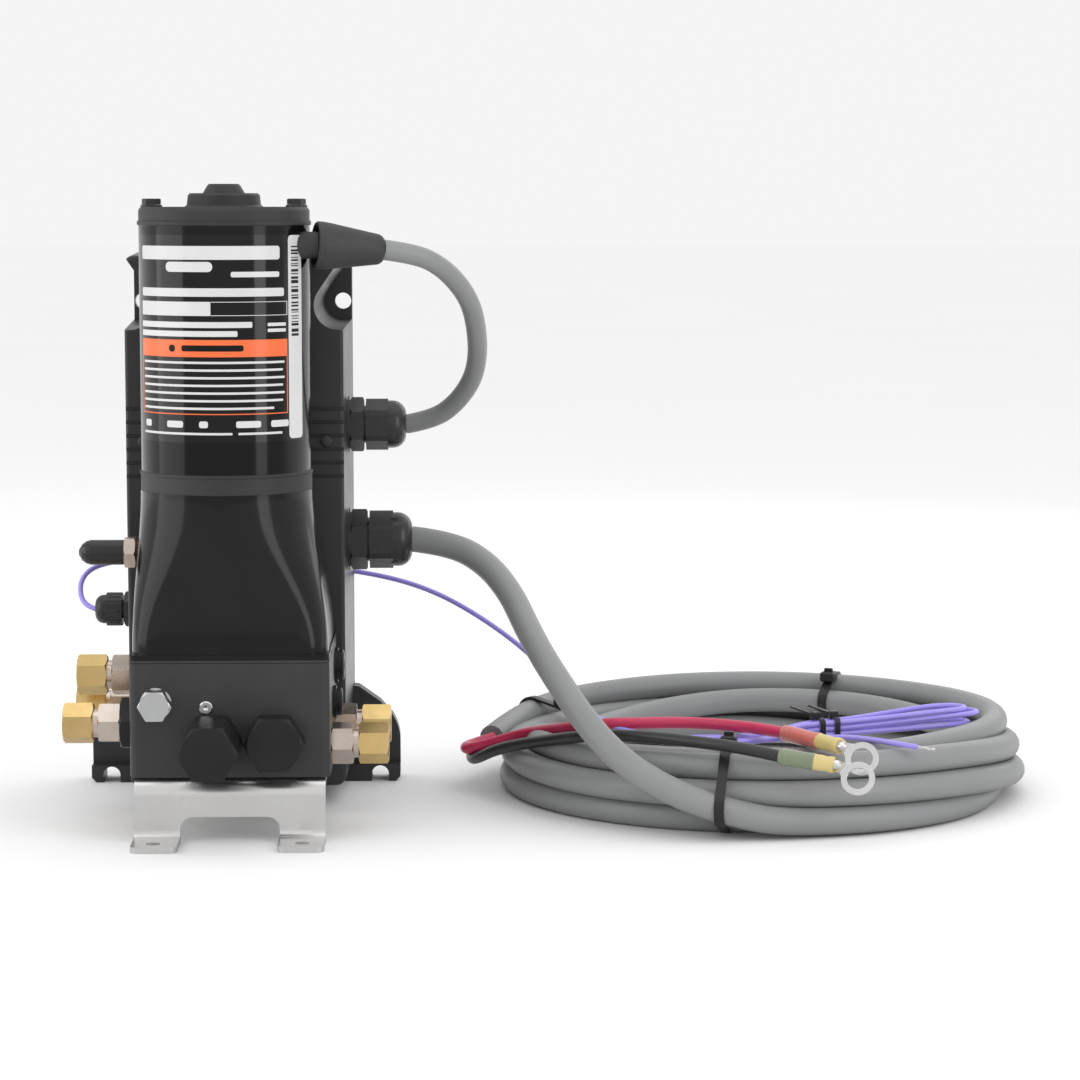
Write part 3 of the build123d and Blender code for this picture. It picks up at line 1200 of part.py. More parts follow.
# The signal wire: round behind the case, over the coil, into its hank, and out to a bare end
signal_gland_end = (gland_ends["signal_gland"], gland_y, 95.3)
cord_tube("signal_wire", [
    signal_gland_end, (-83.6, 156, 96.8), (-87.2, 161, 102.3), (-87.2, 168.5, 109.5), (-82.5, 180, 114.3),
    (-71, 195.5, 115.8), (-48, 209.5, 115.9), (-8, 214, 114.8), (40, 212, 110.2), (74, 204, 105.6),
    (100, 190, 98.5), (125, 169, 86.5), (148, 144, 72), (170, 118, 58.5), (189, 98, 50.4), (206, 85, 46.0),
    (218, 83, 41.6), (228, 86, 38.2)], signal_wire_dia)

hank_low = 36.8
hank_high = 46.4
with BuildPart() as signal_wire_hank:
    with BuildSketch(Plane.XY.offset(hank_low)) as near_strands:
        Polygon((224, 88), (262, 74), (304, 72), (304, 106), (277, 116), align=None)
        fillet(near_strands.vertices(), 4)
    extrude(amount=2.7)
    with BuildSketch(Plane.XY.offset(hank_low)) as bundle_heel:
        Polygon((288, 74), (308, 68), (312, 100), (292, 104), align=None)
        fillet(bundle_heel.vertices(), 3)
    extrude(amount=hank_high - hank_low)
    with BuildSketch(Plane.XY.offset(coil_height + 0.3)) as far_loops:
        Polygon((294, 64), (332, 62), (364, 84), (380, 128), (372, 144), (342, 144), (290, 98), align=None)
        fillet(far_loops.vertices(), 5)
    extrude(amount=hank_high - coil_height - 0.3)
save(signal_wire_hank, "signal_wire_hank")

cord_tube("signal_wire_end", [
    (297.5, 66, 43.4), (309, 54.5, 42.6), (320.5, 42.5, 42.2), (333, 33.5, 41.8)], signal_wire_dia)

# Cable ties: three straps with locking heads round the coil, two small ones round the hank
with BuildPart() as cable_ties:
    for direction, head_radius in ((-102, coil_inner_radius + 3), (66, coil_outer_radius - 5),
                                   (146, coil_outer_radius - 5)):
        outward = (cos(radians(direction)), sin(radians(direction)), 0)
        section = Plane(origin=(coil_centre_x, coil_centre_y, 0), x_dir=outward, z_dir=(outward[1], -outward[0], 0))
        inner_top = coil_top(coil_centre_x + coil_inner_radius * outward[0])
        outer_top = coil_top(coil_centre_x + coil_outer_radius * outward[0])
        near, far = coil_inner_radius - 0.1, coil_outer_radius + 0.1
        inside = [(near, tie_thickness), (far, tie_thickness), (far, outer_top + 0.1), (near, inner_top + 0.1)]
        outside = [(near - tie_thickness, 0), (far + tie_thickness, 0), (far + tie_thickness, outer_top + tie_thickness),
                   (near - tie_thickness, inner_top + tie_thickness)]
        with BuildSketch(section):
            Polygon(*outside, align=None)
            Polygon(*inside, align=None, mode=Mode.SUBTRACT)
        extrude(amount=tie_width / 2, both=True)
        with BuildSketch(section):
            with Locations((head_radius, inner_top + (outer_top - inner_top) * 0.5 + tie_thickness)):
                RectangleRounded(8.0, 6.0, 1.0)
            Polygon(*inside, align=None, mode=Mode.SUBTRACT)
        extrude(amount=tie_width / 2 + 1.2, both=True)
    for x, y, lean_angle in ((291, 92, 26), (299, 84, 40)):
        strap = Plane(origin=(x, y, (coil_height + hank_high) / 2),
                      x_dir=(-sin(radians(lean_angle)), cos(radians(lean_angle)), 0),
                      z_dir=(cos(radians(lean_angle)), sin(radians(lean_angle)), 0))
        with BuildSketch(strap):
            RectangleRounded(16, hank_high - hank_low + 2, 2)
            RectangleRounded(14.6, hank_high - hank_low + 0.6, 1.4, mode=Mode.SUBTRACT)
        extrude(amount=1.2, both=True)
save(cable_ties, "cable_ties")
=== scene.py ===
import json
from math import atan2, cos, degrees, pi, radians, sin, sqrt

import bmesh
import bpy
from mathutils import Matrix, Vector


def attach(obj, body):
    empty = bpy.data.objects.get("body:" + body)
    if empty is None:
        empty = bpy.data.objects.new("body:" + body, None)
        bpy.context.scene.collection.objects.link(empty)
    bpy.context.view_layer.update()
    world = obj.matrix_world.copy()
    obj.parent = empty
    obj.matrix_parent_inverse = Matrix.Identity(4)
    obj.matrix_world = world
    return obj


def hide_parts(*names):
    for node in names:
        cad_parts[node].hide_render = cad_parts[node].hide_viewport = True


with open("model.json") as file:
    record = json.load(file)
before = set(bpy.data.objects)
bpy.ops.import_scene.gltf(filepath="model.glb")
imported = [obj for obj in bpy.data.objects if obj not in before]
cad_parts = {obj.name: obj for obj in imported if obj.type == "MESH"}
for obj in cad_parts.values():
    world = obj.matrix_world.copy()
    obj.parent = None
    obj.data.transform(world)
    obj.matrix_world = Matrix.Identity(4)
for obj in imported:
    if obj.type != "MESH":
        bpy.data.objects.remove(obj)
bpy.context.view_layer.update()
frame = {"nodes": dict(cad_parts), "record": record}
nodes = frame["nodes"]
scene = bpy.context.scene
mm = 0.001


# ---- camera

camera = {"place": (0.10638, -1.46327, 0.3065), "pitch": 83.8, "turn": -1.64, "lens": 104.2}
cameraData = bpy.data.cameras.new("photoCamera")
cameraData.lens = camera["lens"]
cameraData.sensor_width = 36
cameraData.clip_start = 0.02
cameraObject = bpy.data.objects.new("photoCamera", cameraData)
cameraObject.location = camera["place"]
cameraObject.rotation_euler = (radians(camera["pitch"]), 0, radians(camera["turn"]))
scene.collection.objects.link(cameraObject)
scene.camera = cameraObject
scene.view_settings.view_transform = "Standard"
print("camera placed")


# ---- node helpers

def addNode(tree, kind, inputs=None, **settings):
    node = tree.nodes.new(kind)
    for key, value in settings.items():
        setattr(node, key, value)
    for key, value in (inputs or {}).items():
        if isinstance(value, bpy.types.NodeSocket):
            tree.links.new(value, node.inputs[key])
        else:
            node.inputs[key].default_value = value
    return node


def newGroup(name, inputs, outputs, treeKind="ShaderNodeTree"):
    group = bpy.data.node_groups.new(name, treeKind)
    for label, kind, value in inputs:
        socket = group.interface.new_socket(label, in_out="INPUT", socket_type=kind)
        if value is not None:
            socket.default_value = value
    for label, kind in outputs:
        group.interface.new_socket(label, in_out="OUTPUT", socket_type=kind)
    return group, group.nodes.new("NodeGroupInput"), group.nodes.new("NodeGroupOutput")


def useGroup(tree, group, **inputs):
    return addNode(tree, "ShaderNodeGroup", inputs, node_tree=group)


def doMath(tree, operation, *values, clamp=False):
    return addNode(tree, "ShaderNodeMath", dict(enumerate(values)), operation=operation, use_clamp=clamp).outputs[0]


def addNoise(tree, place, scale, detail, roughness=0.5):
    return addNode(tree, "ShaderNodeTexNoise", {"Vector": place, "Scale": scale, "Detail": detail,
                                                "Roughness": roughness}).outputs["Fac"]


def remap(tree, value, start, end, low=0.0, high=1.0, **settings):
    return addNode(tree, "ShaderNodeMapRange", {"Value": value, "From Min": start, "From Max": end, "To Min": low,
                                                "To Max": high}, **settings).outputs[0]


def mixColours(tree, factor, first, second):
    return addNode(tree, "ShaderNodeMix", {"Factor": factor, 6: first, 7: second}, data_type="RGBA").outputs[2]


def mixNumbers(tree, factor, first, second):
    return addNode(tree, "ShaderNodeMix", {"Factor": factor, 2: first, 3: second}, data_type="FLOAT").outputs[0]


number, colour, vector = "NodeSocketFloat", "NodeSocketColor", "NodeSocketVector"


# two tones of one colour, blotched softly, with fine flecks
def makeToneGroup():
    group, given, put = newGroup("softTone", [
        ("Vector", vector, None), ("First", colour, (0.5, 0.5, 0.5, 1)), ("Second", colour, (0.4, 0.4, 0.4, 1)),
        ("Scale", number, 30), ("Flecks", number, 0.2)], [("Color", colour)])
    place, scale = given.outputs["Vector"], given.outputs["Scale"]
    spread = remap(group, addNoise(group, place, scale, 5.0, 0.55), 0.3, 0.7)
    fine = addNoise(group, place, doMath(group, "MULTIPLY", scale, 24.0), 2.0)
    fleck = doMath(group, "SUBTRACT", fine, 0.5)
    share = doMath(group, "MULTIPLY_ADD", fleck, given.outputs["Flecks"], spread, clamp=True)
    mixed = mixColours(group, share, given.outputs["First"], given.outputs["Second"])
    group.links.new(mixed, put.inputs["Color"])
    return group


# height of a cast, moulded or painted skin: fine grain over a slow wave
def makeGrainGroup():
    group, given, put = newGroup("skinGrain", [
        ("Vector", vector, None), ("Fine", number, 1500), ("Wave", number, 60), ("Waviness", number, 0.3)],
        [("Height", number)])
    place = given.outputs["Vector"]
    fine = addNoise(group, place, given.outputs["Fine"], 3.0, 0.6)
    slow = addNoise(group, place, given.outputs["Wave"], 2.0)
    group.links.new(mixNumbers(group, given.outputs["Waviness"], fine, slow), put.inputs["Height"])
    return group


# roughness that differs a little from place to place, as handling leaves it
def makeSheenGroup():
    group, given, put = newGroup("sheenBreak", [
        ("Vector", vector, None), ("Low", number, 0.3), ("High", number, 0.5), ("Scale", number, 40)],
        [("Roughness", number)])
    cloud = addNoise(group, given.outputs["Vector"], given.outputs["Scale"], 6.0, 0.6)
    ranged = remap(group, cloud, 0.3, 0.7, given.outputs["Low"], given.outputs["High"])
    group.links.new(ranged, put.inputs["Roughness"])
    return group


# long fine scratches along one direction, for brushed and turned metal
def makeBrushGroup():
    group, given, put = newGroup("brushLines", [
        ("Vector", vector, None), ("Along", vector, (30, 900, 900))], [("Height", number)])
    scaled = addNode(group, "ShaderNodeVectorMath", {0: given.outputs["Vector"], 1: given.outputs["Along"]},
                     operation="MULTIPLY")
    group.links.new(addNoise(group, scaled.outputs[0], 1.0, 4.0, 0.65), put.inputs["Height"])
    return group


# small pale specks of dust, in patches
def makeDustGroup():
    group, given, put = newGroup("dustSpecks", [
        ("Vector", vector, None), ("Scale", number, 850), ("Amount", number, 0.1)], [("Mask", number)])
    place = given.outputs["Vector"]
    speck = addNode(group, "ShaderNodeTexVoronoi", {"Vector": place, "Scale": given.outputs["Scale"]})
    near = remap(group, speck.outputs["Distance"], 0.12, 0.03)
    patchy = remap(group, addNoise(group, place, 45.0, 3.0), 0.5, 0.7)
    mask = doMath(group, "MULTIPLY", doMath(group, "MULTIPLY", near, patchy), given.outputs["Amount"], clamp=True)
    group.links.new(mask, put.inputs["Mask"])
    return group


softTone, skinGrain, sheenBreak = makeToneGroup(), makeGrainGroup(), makeSheenGroup()
brushLines, dustSpecks = makeBrushGroup(), makeDustGroup()
dustTone = (0.45, 0.44, 0.42, 1)


# a finish from one dictionary; what is the same all over goes on the shader's own sockets
def makeFinish(name, look):
    material = bpy.data.materials.new(name)
    material.use_nodes = True
    tree = material.node_tree
    shader = tree.nodes["Principled BSDF"]
    place = addNode(tree, "ShaderNodeTexCoord").outputs["Object"]
    tone = useGroup(tree, softTone, Vector=place, First=(*look["first"], 1), Second=(*look["second"], 1),
                    Scale=look.get("toneScale", 30.0), Flecks=look.get("flecks", 0.2)).outputs["Color"]
    if look.get("dust"):
        mask = useGroup(tree, dustSpecks, Vector=place, Amount=look["dust"]).outputs["Mask"]
        tone = mixColours(tree, mask, tone, dustTone)
    tree.links.new(tone, shader.inputs["Base Color"])
    low, high = look["rough"]
    sheen = useGroup(tree, sheenBreak, Vector=place, Low=low, High=high, Scale=look.get("sheenScale", 40.0))
    tree.links.new(sheen.outputs["Roughness"], shader.inputs["Roughness"])
    if look.get("along"):
        height = useGroup(tree, brushLines, Vector=place, Along=look["along"]).outputs["Height"]
    else:
        height = useGroup(tree, skinGrain, Vector=place, Fine=look.get("fine", 1500.0), Wave=look.get("wave", 60.0),
                          Waviness=look.get("waviness", 0.3)).outputs["Height"]
    bump = addNode(tree, "ShaderNodeBump", {"Height": height, "Strength": look.get("bump", 0.3),
                                            "Distance": look.get("depth", 0.0001)})
    tree.links.new(bump.outputs["Normal"], shader.inputs["Normal"])
    shader.inputs["Metallic"].default_value = look.get("metal", 0.0)
    shader.inputs["Specular IOR Level"].default_value = look.get("specular", 0.5)
    shader.inputs["Coat Weight"].default_value = look.get("coat", 0.0)
    shader.inputs["Coat Roughness"].default_value = look.get("coatRough", 0.05)
    if look.get("glow"):
        shader.inputs["Subsurface Weight"].default_value = look["glow"]
        shader.inputs["Subsurface Radius"].default_value = (0.004, 0.004, 0.004)
    return material


# ---- finishes of the record's slots, one dictionary each

finishes = {
    "stainless": {"first": (0.88, 0.87, 0.855), "second": (0.8, 0.79, 0.775), "metal": 1.0, "rough": (0.26, 0.36),
                  "along": (25.0, 900.0, 900.0), "bump": 0.18, "depth": 0.00004, "toneScale": 22.0},
    "black_anodised": {"first": (0.038, 0.038, 0.039), "second": (0.045, 0.045, 0.046), "rough": (0.34, 0.42),
                       "fine": 2600.0, "waviness": 0.15, "bump": 0.35, "depth": 0.00003, "dust": 0.35,
                       "specular": 0.3},
    "black_plug": {"first": (0.012, 0.012, 0.0125), "second": (0.017, 0.017, 0.0175), "rough": (0.26, 0.4),
                   "fine": 2200.0, "depth": 0.00004, "dust": 0.3, "specular": 0.3},
    "zinc": {"first": (0.82, 0.82, 0.81), "second": (0.7, 0.71, 0.72), "metal": 1.0, "rough": (0.2, 0.32),
             "fine": 900.0, "bump": 0.25, "depth": 0.00005},
    "nickel": {"first": (0.78, 0.68, 0.6), "second": (0.66, 0.56, 0.49), "metal": 1.0, "rough": (0.2, 0.34),
               "fine": 700.0, "depth": 0.00006, "toneScale": 60.0},
    "brass": {"first": (0.9, 0.65, 0.29), "second": (0.76, 0.53, 0.21), "metal": 1.0, "rough": (0.18, 0.32),
              "fine": 800.0, "depth": 0.00006, "toneScale": 60.0},
    "reservoir_black": {"first": (0.0052, 0.005, 0.0046), "second": (0.0078, 0.0075, 0.007), "rough": (0.15, 0.22),
                        "fine": 700.0, "wave": 55.0, "waviness": 0.7, "bump": 0.2, "depth": 0.00006, "dust": 0.3,
                        "coat": 0.25, "coatRough": 0.08, "specular": 0.2},
    "gasket_rubber": {"first": (0.03, 0.03, 0.03), "second": (0.045, 0.045, 0.045), "rough": (0.5, 0.66)},
    "vinyl": {"first": (0.014, 0.014, 0.015), "second": (0.022, 0.022, 0.023), "rough": (0.2, 0.3), "fine": 500.0,
              "bump": 0.25, "depth": 0.00008, "specular": 0.45},
    "black_cast": {"first": (0.03, 0.03, 0.031), "second": (0.042, 0.042, 0.043), "rough": (0.42, 0.56),
                   "fine": 1700.0, "waviness": 0.1, "bump": 0.5, "depth": 0.00008, "dust": 0.3, "specular": 0.3},
    "black_paint": {"first": (0.004, 0.0039, 0.0037), "second": (0.006, 0.0058, 0.0056), "rough": (0.12, 0.2),
                    "fine": 650.0, "wave": 70.0, "waviness": 0.7, "bump": 0.2, "depth": 0.00005, "coat": 0.2,
                    "specular": 0.2},
    "black_bolt": {"first": (0.022, 0.022, 0.023), "second": (0.04, 0.04, 0.041), "rough": (0.3, 0.45), "dust": 0.5},
    "case_black": {"first": (0.03, 0.03, 0.031), "second": (0.036, 0.036, 0.037), "rough": (0.28, 0.36),
                   "waviness": 0.25, "bump": 0.35, "depth": 0.00006, "dust": 0.3, "specular": 0.35},
    "gland_nylon": {"first": (0.024, 0.024, 0.025), "second": (0.032, 0.032, 0.033), "rough": (0.22, 0.34),
                    "fine": 900.0, "bump": 0.2, "depth": 0.00005, "dust": 0.3, "specular": 0.45},
    "grey_jacket": {"first": (0.255, 0.26, 0.262), "second": (0.225, 0.23, 0.232), "rough": (0.34, 0.46),
                    "fine": 900.0, "wave": 120.0, "waviness": 0.4, "depth": 0.00012, "toneScale": 14.0},
    "red_insulation": {"first": (0.58, 0.035, 0.105), "second": (0.5, 0.026, 0.085), "rough": (0.28, 0.4),
                       "fine": 900.0},
    "black_insulation": {"first": (0.022, 0.022, 0.023), "second": (0.032, 0.032, 0.033), "rough": (0.3, 0.42),
                         "fine": 900.0},
    "sleeve_nylon": {"first": (0.5, 0.45, 0.2), "second": (0.45, 0.4, 0.2), "rough": (0.25, 0.35)},
    "tinned": {"first": (0.9, 0.9, 0.89), "second": (0.8, 0.8, 0.8), "metal": 1.0, "rough": (0.18, 0.3),
               "fine": 900.0, "depth": 0.00005, "toneScale": 90.0},
    "violet_insulation": {"first": (0.37, 0.31, 0.84), "second": (0.32, 0.265, 0.76), "rough": (0.26, 0.36),
                          "fine": 900.0},
    "tie_nylon": {"first": (0.014, 0.014, 0.015), "second": (0.021, 0.021, 0.022), "rough": (0.28, 0.4),
                  "fine": 1200.0, "specular": 0.4},
    "ferrite": {"first": (0.05, 0.048, 0.046), "second": (0.075, 0.072, 0.07), "rough": (0.5, 0.65)},
    "phenolic": {"first": (0.16, 0.075, 0.03), "second": (0.12, 0.055, 0.022), "rough": (0.38, 0.5)},
    "steel": {"first": (0.56, 0.56, 0.56), "second": (0.45, 0.45, 0.45), "metal": 1.0, "rough": (0.2, 0.32),
              "along": (900.0, 900.0, 40.0), "depth": 0.00004},
    "copper": {"first": (0.72, 0.33, 0.17), "second": (0.58, 0.24, 0.11), "metal": 1.0, "rough": (0.24, 0.38),
               "fine": 1200.0},
    "pump_iron": {"first": (0.24, 0.235, 0.23), "second": (0.18, 0.176, 0.172), "metal": 1.0, "rough": (0.38, 0.55),
                  "fine": 900.0},
    "heat_sink": {"first": (0.62, 0.62, 0.62), "second": (0.54, 0.54, 0.54), "metal": 1.0, "rough": (0.3, 0.42),
                  "along": (900.0, 900.0, 30.0), "depth": 0.00005},
    "package": {"first": (0.018, 0.018, 0.019), "second": (0.028, 0.028, 0.028), "rough": (0.45, 0.6)},
}
spare = {"first": (0.03, 0.03, 0.03), "second": (0.04, 0.04, 0.04), "rough": (0.4, 0.5)}
slotNames = [entry["slot"] for entry in frame["record"]["materials"]]
made = {}
for slotName in slotNames:
    look = finishes.get(slotName)
    if look is None:  # a slot without its own dictionary takes the record's colour
        entry = next(m for m in frame["record"]["materials"] if m["slot"] == slotName)
        base = tuple(entry["base_color"][:3])
        print("slot by the record:", slotName, base)
        look = dict(spare, first=base, second=tuple(0.82 * c for c in base))
    made[slotName] = makeFinish(slotName, look)
nodeSlots = {part["node"]: part["material_slot"] for part in frame["record"]["subparts"]}
for nodeName, slotName in nodeSlots.items():
    for place in nodes[nodeName].material_slots:
        place.material = made[slotName]
nodes["case_screws"].material_slots[0].material = made["black_bolt"]
print("finishes on", len(nodeSlots), "nodes")


# ---- mesh helpers

upward = Vector((0, 0, 1))


def linkMesh(name, mesh, material):
    piece = bpy.data.objects.new(name, mesh)
    scene.collection.objects.link(piece)
    mesh.materials.append(material)
    return piece


def finishMesh(name, bm, material, angle=40):
    bmesh.ops.remove_doubles(bm, verts=bm.verts, dist=1e-7)
    bmesh.ops.recalc_face_normals(bm, faces=bm.faces)
    mesh = bpy.data.meshes.new(name)
    bm.to_mesh(mesh)
    bm.free()
    piece = linkMesh(name, mesh, material)
    mesh.shade_smooth()
    mesh.set_sharp_from_angle(angle=radians(angle))
    return piece


# a level direction, by its angle in degrees from x
def heading(angle):
    return Vector((cos(radians(angle)), sin(radians(angle)), 0))


# a frame with its z axis along a direction
def facing(origin, direction, side=None):
    z = Vector(direction).normalized()
    x = Vector(side) if side is not None else (upward if abs(z.z) < 0.9 else Vector((1, 0, 0)))
    x = (x - z * x.dot(z)).normalized()
    y = z.cross(x)
    matrix = Matrix((x, y, z)).transposed().to_4x4()
    matrix.translation = Vector(origin)
    return matrix


# faces between rings of corners, with or without a face over each end
def bridge(bm, rings, capped=True):
    for low, high in zip(rings, rings[1:]):
        for i in range(len(low)):
            j = (i + 1) % len(low)
            bm.faces.new((low[i], low[j], high[j], high[i]))
    if capped:
        bm.faces.new(rings[0][::-1])
        bm.faces.new(rings[-1])


# a turned shape from (radius, height) pairs; it closes on the axis or on itself
def addTurned(bm, matrix, profile, steps=40):
    rings = []
    for radius, height in profile:
        if radius < 1e-7:
            rings.append([bm.verts.new(matrix @ Vector((0, 0, height)))])
        else:
            rings.append([bm.verts.new(matrix @ Vector((radius * cos(2 * pi * i / steps),
                                                        radius * sin(2 * pi * i / steps), height)))
                          for i in range(steps)])
    for low, high in zip(rings, rings[1:]):
        for i in range(steps):
            j = (i + 1) % steps
            corners = [low[i % len(low)], low[j % len(low)], high[j % len(high)], high[i % len(high)]]
            corners = [v for k, v in enumerate(corners) if v not in corners[:k]]
            if len(corners) > 2:
                bm.faces.new(corners)


# ---- cords: each follows its route's points, in metres

def layCord(name, points, diameter, material):
    curve = bpy.data.curves.new(name, "CURVE")
    curve.dimensions = "3D"
    curve.bevel_depth = diameter / 2
    curve.bevel_resolution = 6
    curve.resolution_u = 8
    curve.use_fill_caps = True
    spline = curve.splines.new("NURBS")
    spline.points.add(len(points) - 1)
    for point, (x, y, z) in zip(spline.points, points):
        point.co = (x, y, z, 1)
    spline.order_u = 3
    spline.use_endpoint_u = True
    curve.materials.append(material)
    piece = bpy.data.objects.new(name, curve)
    scene.collection.objects.link(piece)
    return piece


# the line that a cord's spline follows, as points
def lineOf(piece):
    bare = piece.data.copy()
    bare.bevel_depth = 0
    holder = bpy.data.objects.new("line", bare)
    mesh = bpy.data.meshes.new_from_object(holder)
    line = [v.co.copy() for v in mesh.vertices]
    bpy.data.objects.remove(holder)
    bpy.data.curves.remove(bare)
    bpy.data.meshes.remove(mesh)
    return line


def lengthOf(line):
    return sum((b - a).length for a, b in zip(line, line[1:]))


# the power cable: from its gland down to the floor, then round the coil, counterclockwise from above
powerCable = {"diameter": 0.0135, "coilCentre": (0.266, 0.157),
              "run": [(0.08629, 0.1545, 0.1314), (0.1076, 0.1474, 0.1296), (0.1253, 0.1342, 0.1204),
                      (0.137, 0.1184, 0.107), (0.144, 0.1012, 0.0932), (0.1518, 0.0833, 0.08),
                      (0.1608, 0.066, 0.0674), (0.1706, 0.0494, 0.0544), (0.1828, 0.0344, 0.0412),
                      (0.1991, 0.0229, 0.0297), (0.2193, 0.0153, 0.0205), (0.2418, 0.014, 0.0133)],
              # radius and height in mm at each eighth of a turn, from the front round to the right
              "turns": [[(138, 8), (131, 6.8), (119, 6.8), (118.5, 6.8), (117.5, 11.5), (117, 13), (115, 26.6),
                         (121.5, 30.4)],
                        [(129, 33.3), (130.5, 32.3), (131, 23.6), (131, 21.2), (130.5, 20.9), (128.5, 20), (127, 20),
                         (130, 19.6)],
                        [(133.5, 20.7), (134.5, 19.6), (133.5, 10.5), (132.5, 8), (131, 7.5), (129, 6.8), (127.5, 6.8),
                         (126, 6.8)],
                        [(123, 6.8), (117, 12), (116.5, 20.3), (114, 27), (117.5, 26.5), (105.5, 19.5), (102.5, 20.5),
                         (108, 30)],
                        [(115.5, 33.3), (117.5, 36), (126, 36), (129.5, 34.6), (130.5, 34.3), (137, 30.4)]],
              "lastStation": (169, 138, 21.5)}


# control points of the coil; each lies a little outside the turn, because the spline cuts its corners
def coilPoints(settings):
    stations = [(-90 + 45 * i, r, z) for i, (r, z) in enumerate(s for turn in settings["turns"] for s in turn)]
    stations.append((stations[-1][0] + 34, *settings["lastStation"][1:]))
    outward = 1 / (0.75 + 0.25 * cos(radians(22.5)))
    points = []
    for i, (angle, radius, height) in enumerate(stations):
        before = stations[max(i - 1, 0)]
        after = stations[min(i + 1, len(stations) - 1)]
        further = stations[min(i + 2, len(stations) - 1)]
        rows = [(angle, radius, height)]
        if i < len(stations) - 1:
            rows.append(((angle + after[0]) / 2,
                         (9 * (radius + after[1]) - before[1] - further[1]) / 16,
                         (9 * (height + after[2]) - before[2] - further[2]) / 16))
        for a, r, z in rows:
            out = r * outward * mm
            points.append((settings["coilCentre"][0] + out * cos(radians(a)),
                           settings["coilCentre"][1] + out * sin(radians(a)), max(z, 6.8) * mm))
    return points


jacket = made["grey_jacket"]
coil = coilPoints(powerCable)
powerCord = layCord("powerCable", powerCable["run"] + coil, powerCable["diameter"], jacket)

motorLead = {"diameter": 0.01, "length": 0.167,
             "run": [(0.0736, 0.0636, 0.2827), (0.089, 0.0693, 0.2806), (0.1008, 0.0765, 0.2752),
                     (0.1108, 0.087, 0.2654), (0.117, 0.0984, 0.2544), (0.1196, 0.1094, 0.2416),
                     (0.1203, 0.1209, 0.2286), (0.1176, 0.1334, 0.215), (0.1086, 0.1444, 0.2021),
                     (0.0973, 0.1512, 0.194), (0.08339, 0.1545, 0.1913)]}
motorCord = layCord("motorLead", motorLead["run"], motorLead["diameter"], jacket)

redWire = {"diameter": 0.006,
           "run": [(0.129, 0.1785, 0.0225), (0.1195, 0.1735, 0.0205), (0.113, 0.164, 0.0198),
                   (0.1155, 0.154, 0.0208), (0.128, 0.15, 0.0246), (0.144, 0.144, 0.0306),
                   (0.158, 0.127, 0.0354), (0.172, 0.108, 0.0402), (0.187, 0.0975, 0.0434),
                   (0.204, 0.095, 0.0439), (0.22, 0.097, 0.0439), (0.236, 0.0925, 0.0439),
                   (0.251, 0.082, 0.0442), (0.2625, 0.0705, 0.0446), (0.271, 0.0575, 0.0449)],
           "sleeveEnd": (0.2936, 0.017, 0.0452), "ring": (0.3024, 0.0065, 0.041)}
redCord = layCord("redWire", redWire["run"], redWire["diameter"], made["red_insulation"])
blackWire = {"diameter": 0.006,
             "run": [(0.13, 0.187, 0.0205), (0.1225, 0.183, 0.0185), (0.1172, 0.173, 0.0158),
                     (0.1168, 0.158, 0.0146), (0.1212, 0.144, 0.0182), (0.129, 0.13, 0.0246),
                     (0.145, 0.112, 0.0312), (0.163, 0.085, 0.0382), (0.182, 0.063, 0.0436),
                     (0.204, 0.048, 0.045), (0.2255, 0.0315, 0.0452), (0.246, 0.0185, 0.0446),
                     (0.2634, 0.0135, 0.0413)],
             "sleeveEnd": (0.2892, 0.0055, 0.0382), "ring": (0.2988, -0.0075, 0.034)}
blackCord = layCord("blackWire", blackWire["run"], blackWire["diameter"], made["black_insulation"])

# the thin signal wire: round the case's back, into a hank of three long loops, out again over the coil's front
signalWire = {"diameter": 0.0027,
              "run": [(-0.07839, 0.1545, 0.0953), (-0.0836, 0.156, 0.0968), (-0.0872, 0.161, 0.1023),
                      (-0.0872, 0.1685, 0.1095), (-0.0825, 0.18, 0.1143), (-0.071, 0.1955, 0.1158),
                      (-0.048, 0.2095, 0.1159), (-0.008, 0.214, 0.1148), (0.04, 0.212, 0.1102),
                      (0.074, 0.204, 0.1056), (0.1, 0.19, 0.0985), (0.125, 0.169, 0.0865),
                      (0.148, 0.144, 0.072), (0.1645, 0.113, 0.056), (0.184, 0.0995, 0.043),
                      (0.197, 0.092, 0.0398), (0.209, 0.088, 0.0384), (0.218, 0.0845, 0.0382)],
              "pinch": (0.295, 0.094), "lean": 19.0, "waist": 0.0028, "bulge": 0.0058,
              "leadIn": [(-0.05, 0.0088, 0.0382), (-0.03, 0.0055, 0.0382)],
              # each loop, from the pinch: right end, half width there, height there, height at the pinch
              "loops": [(0.079, 0.008, 0.04, 0.0382), (0.084, 0.0085, 0.045, 0.0411),
                        (0.077, 0.008, 0.0475, 0.044)],
              # left folds: left end, the near and the far run's places across
              "folds": [(-0.066, -0.0085, 0.006), (-0.056, -0.0056, 0.003)],
              "turnBack": [(-0.02, -0.005, 0.0432), (-0.0285, -0.011, 0.0418), (-0.029, -0.019, 0.0408),
                           (-0.0215, -0.0265, 0.0412)],
              "tail": [(0.2975, 0.06, 0.0425), (0.309, 0.052, 0.043), (0.3205, 0.0425, 0.0426),
                       (0.333, 0.0335, 0.0418)]}


hankAlong = heading(signalWire["lean"])
hankAcross = upward.cross(hankAlong)
hankMiddle = Vector((*signalWire["pinch"], 0))


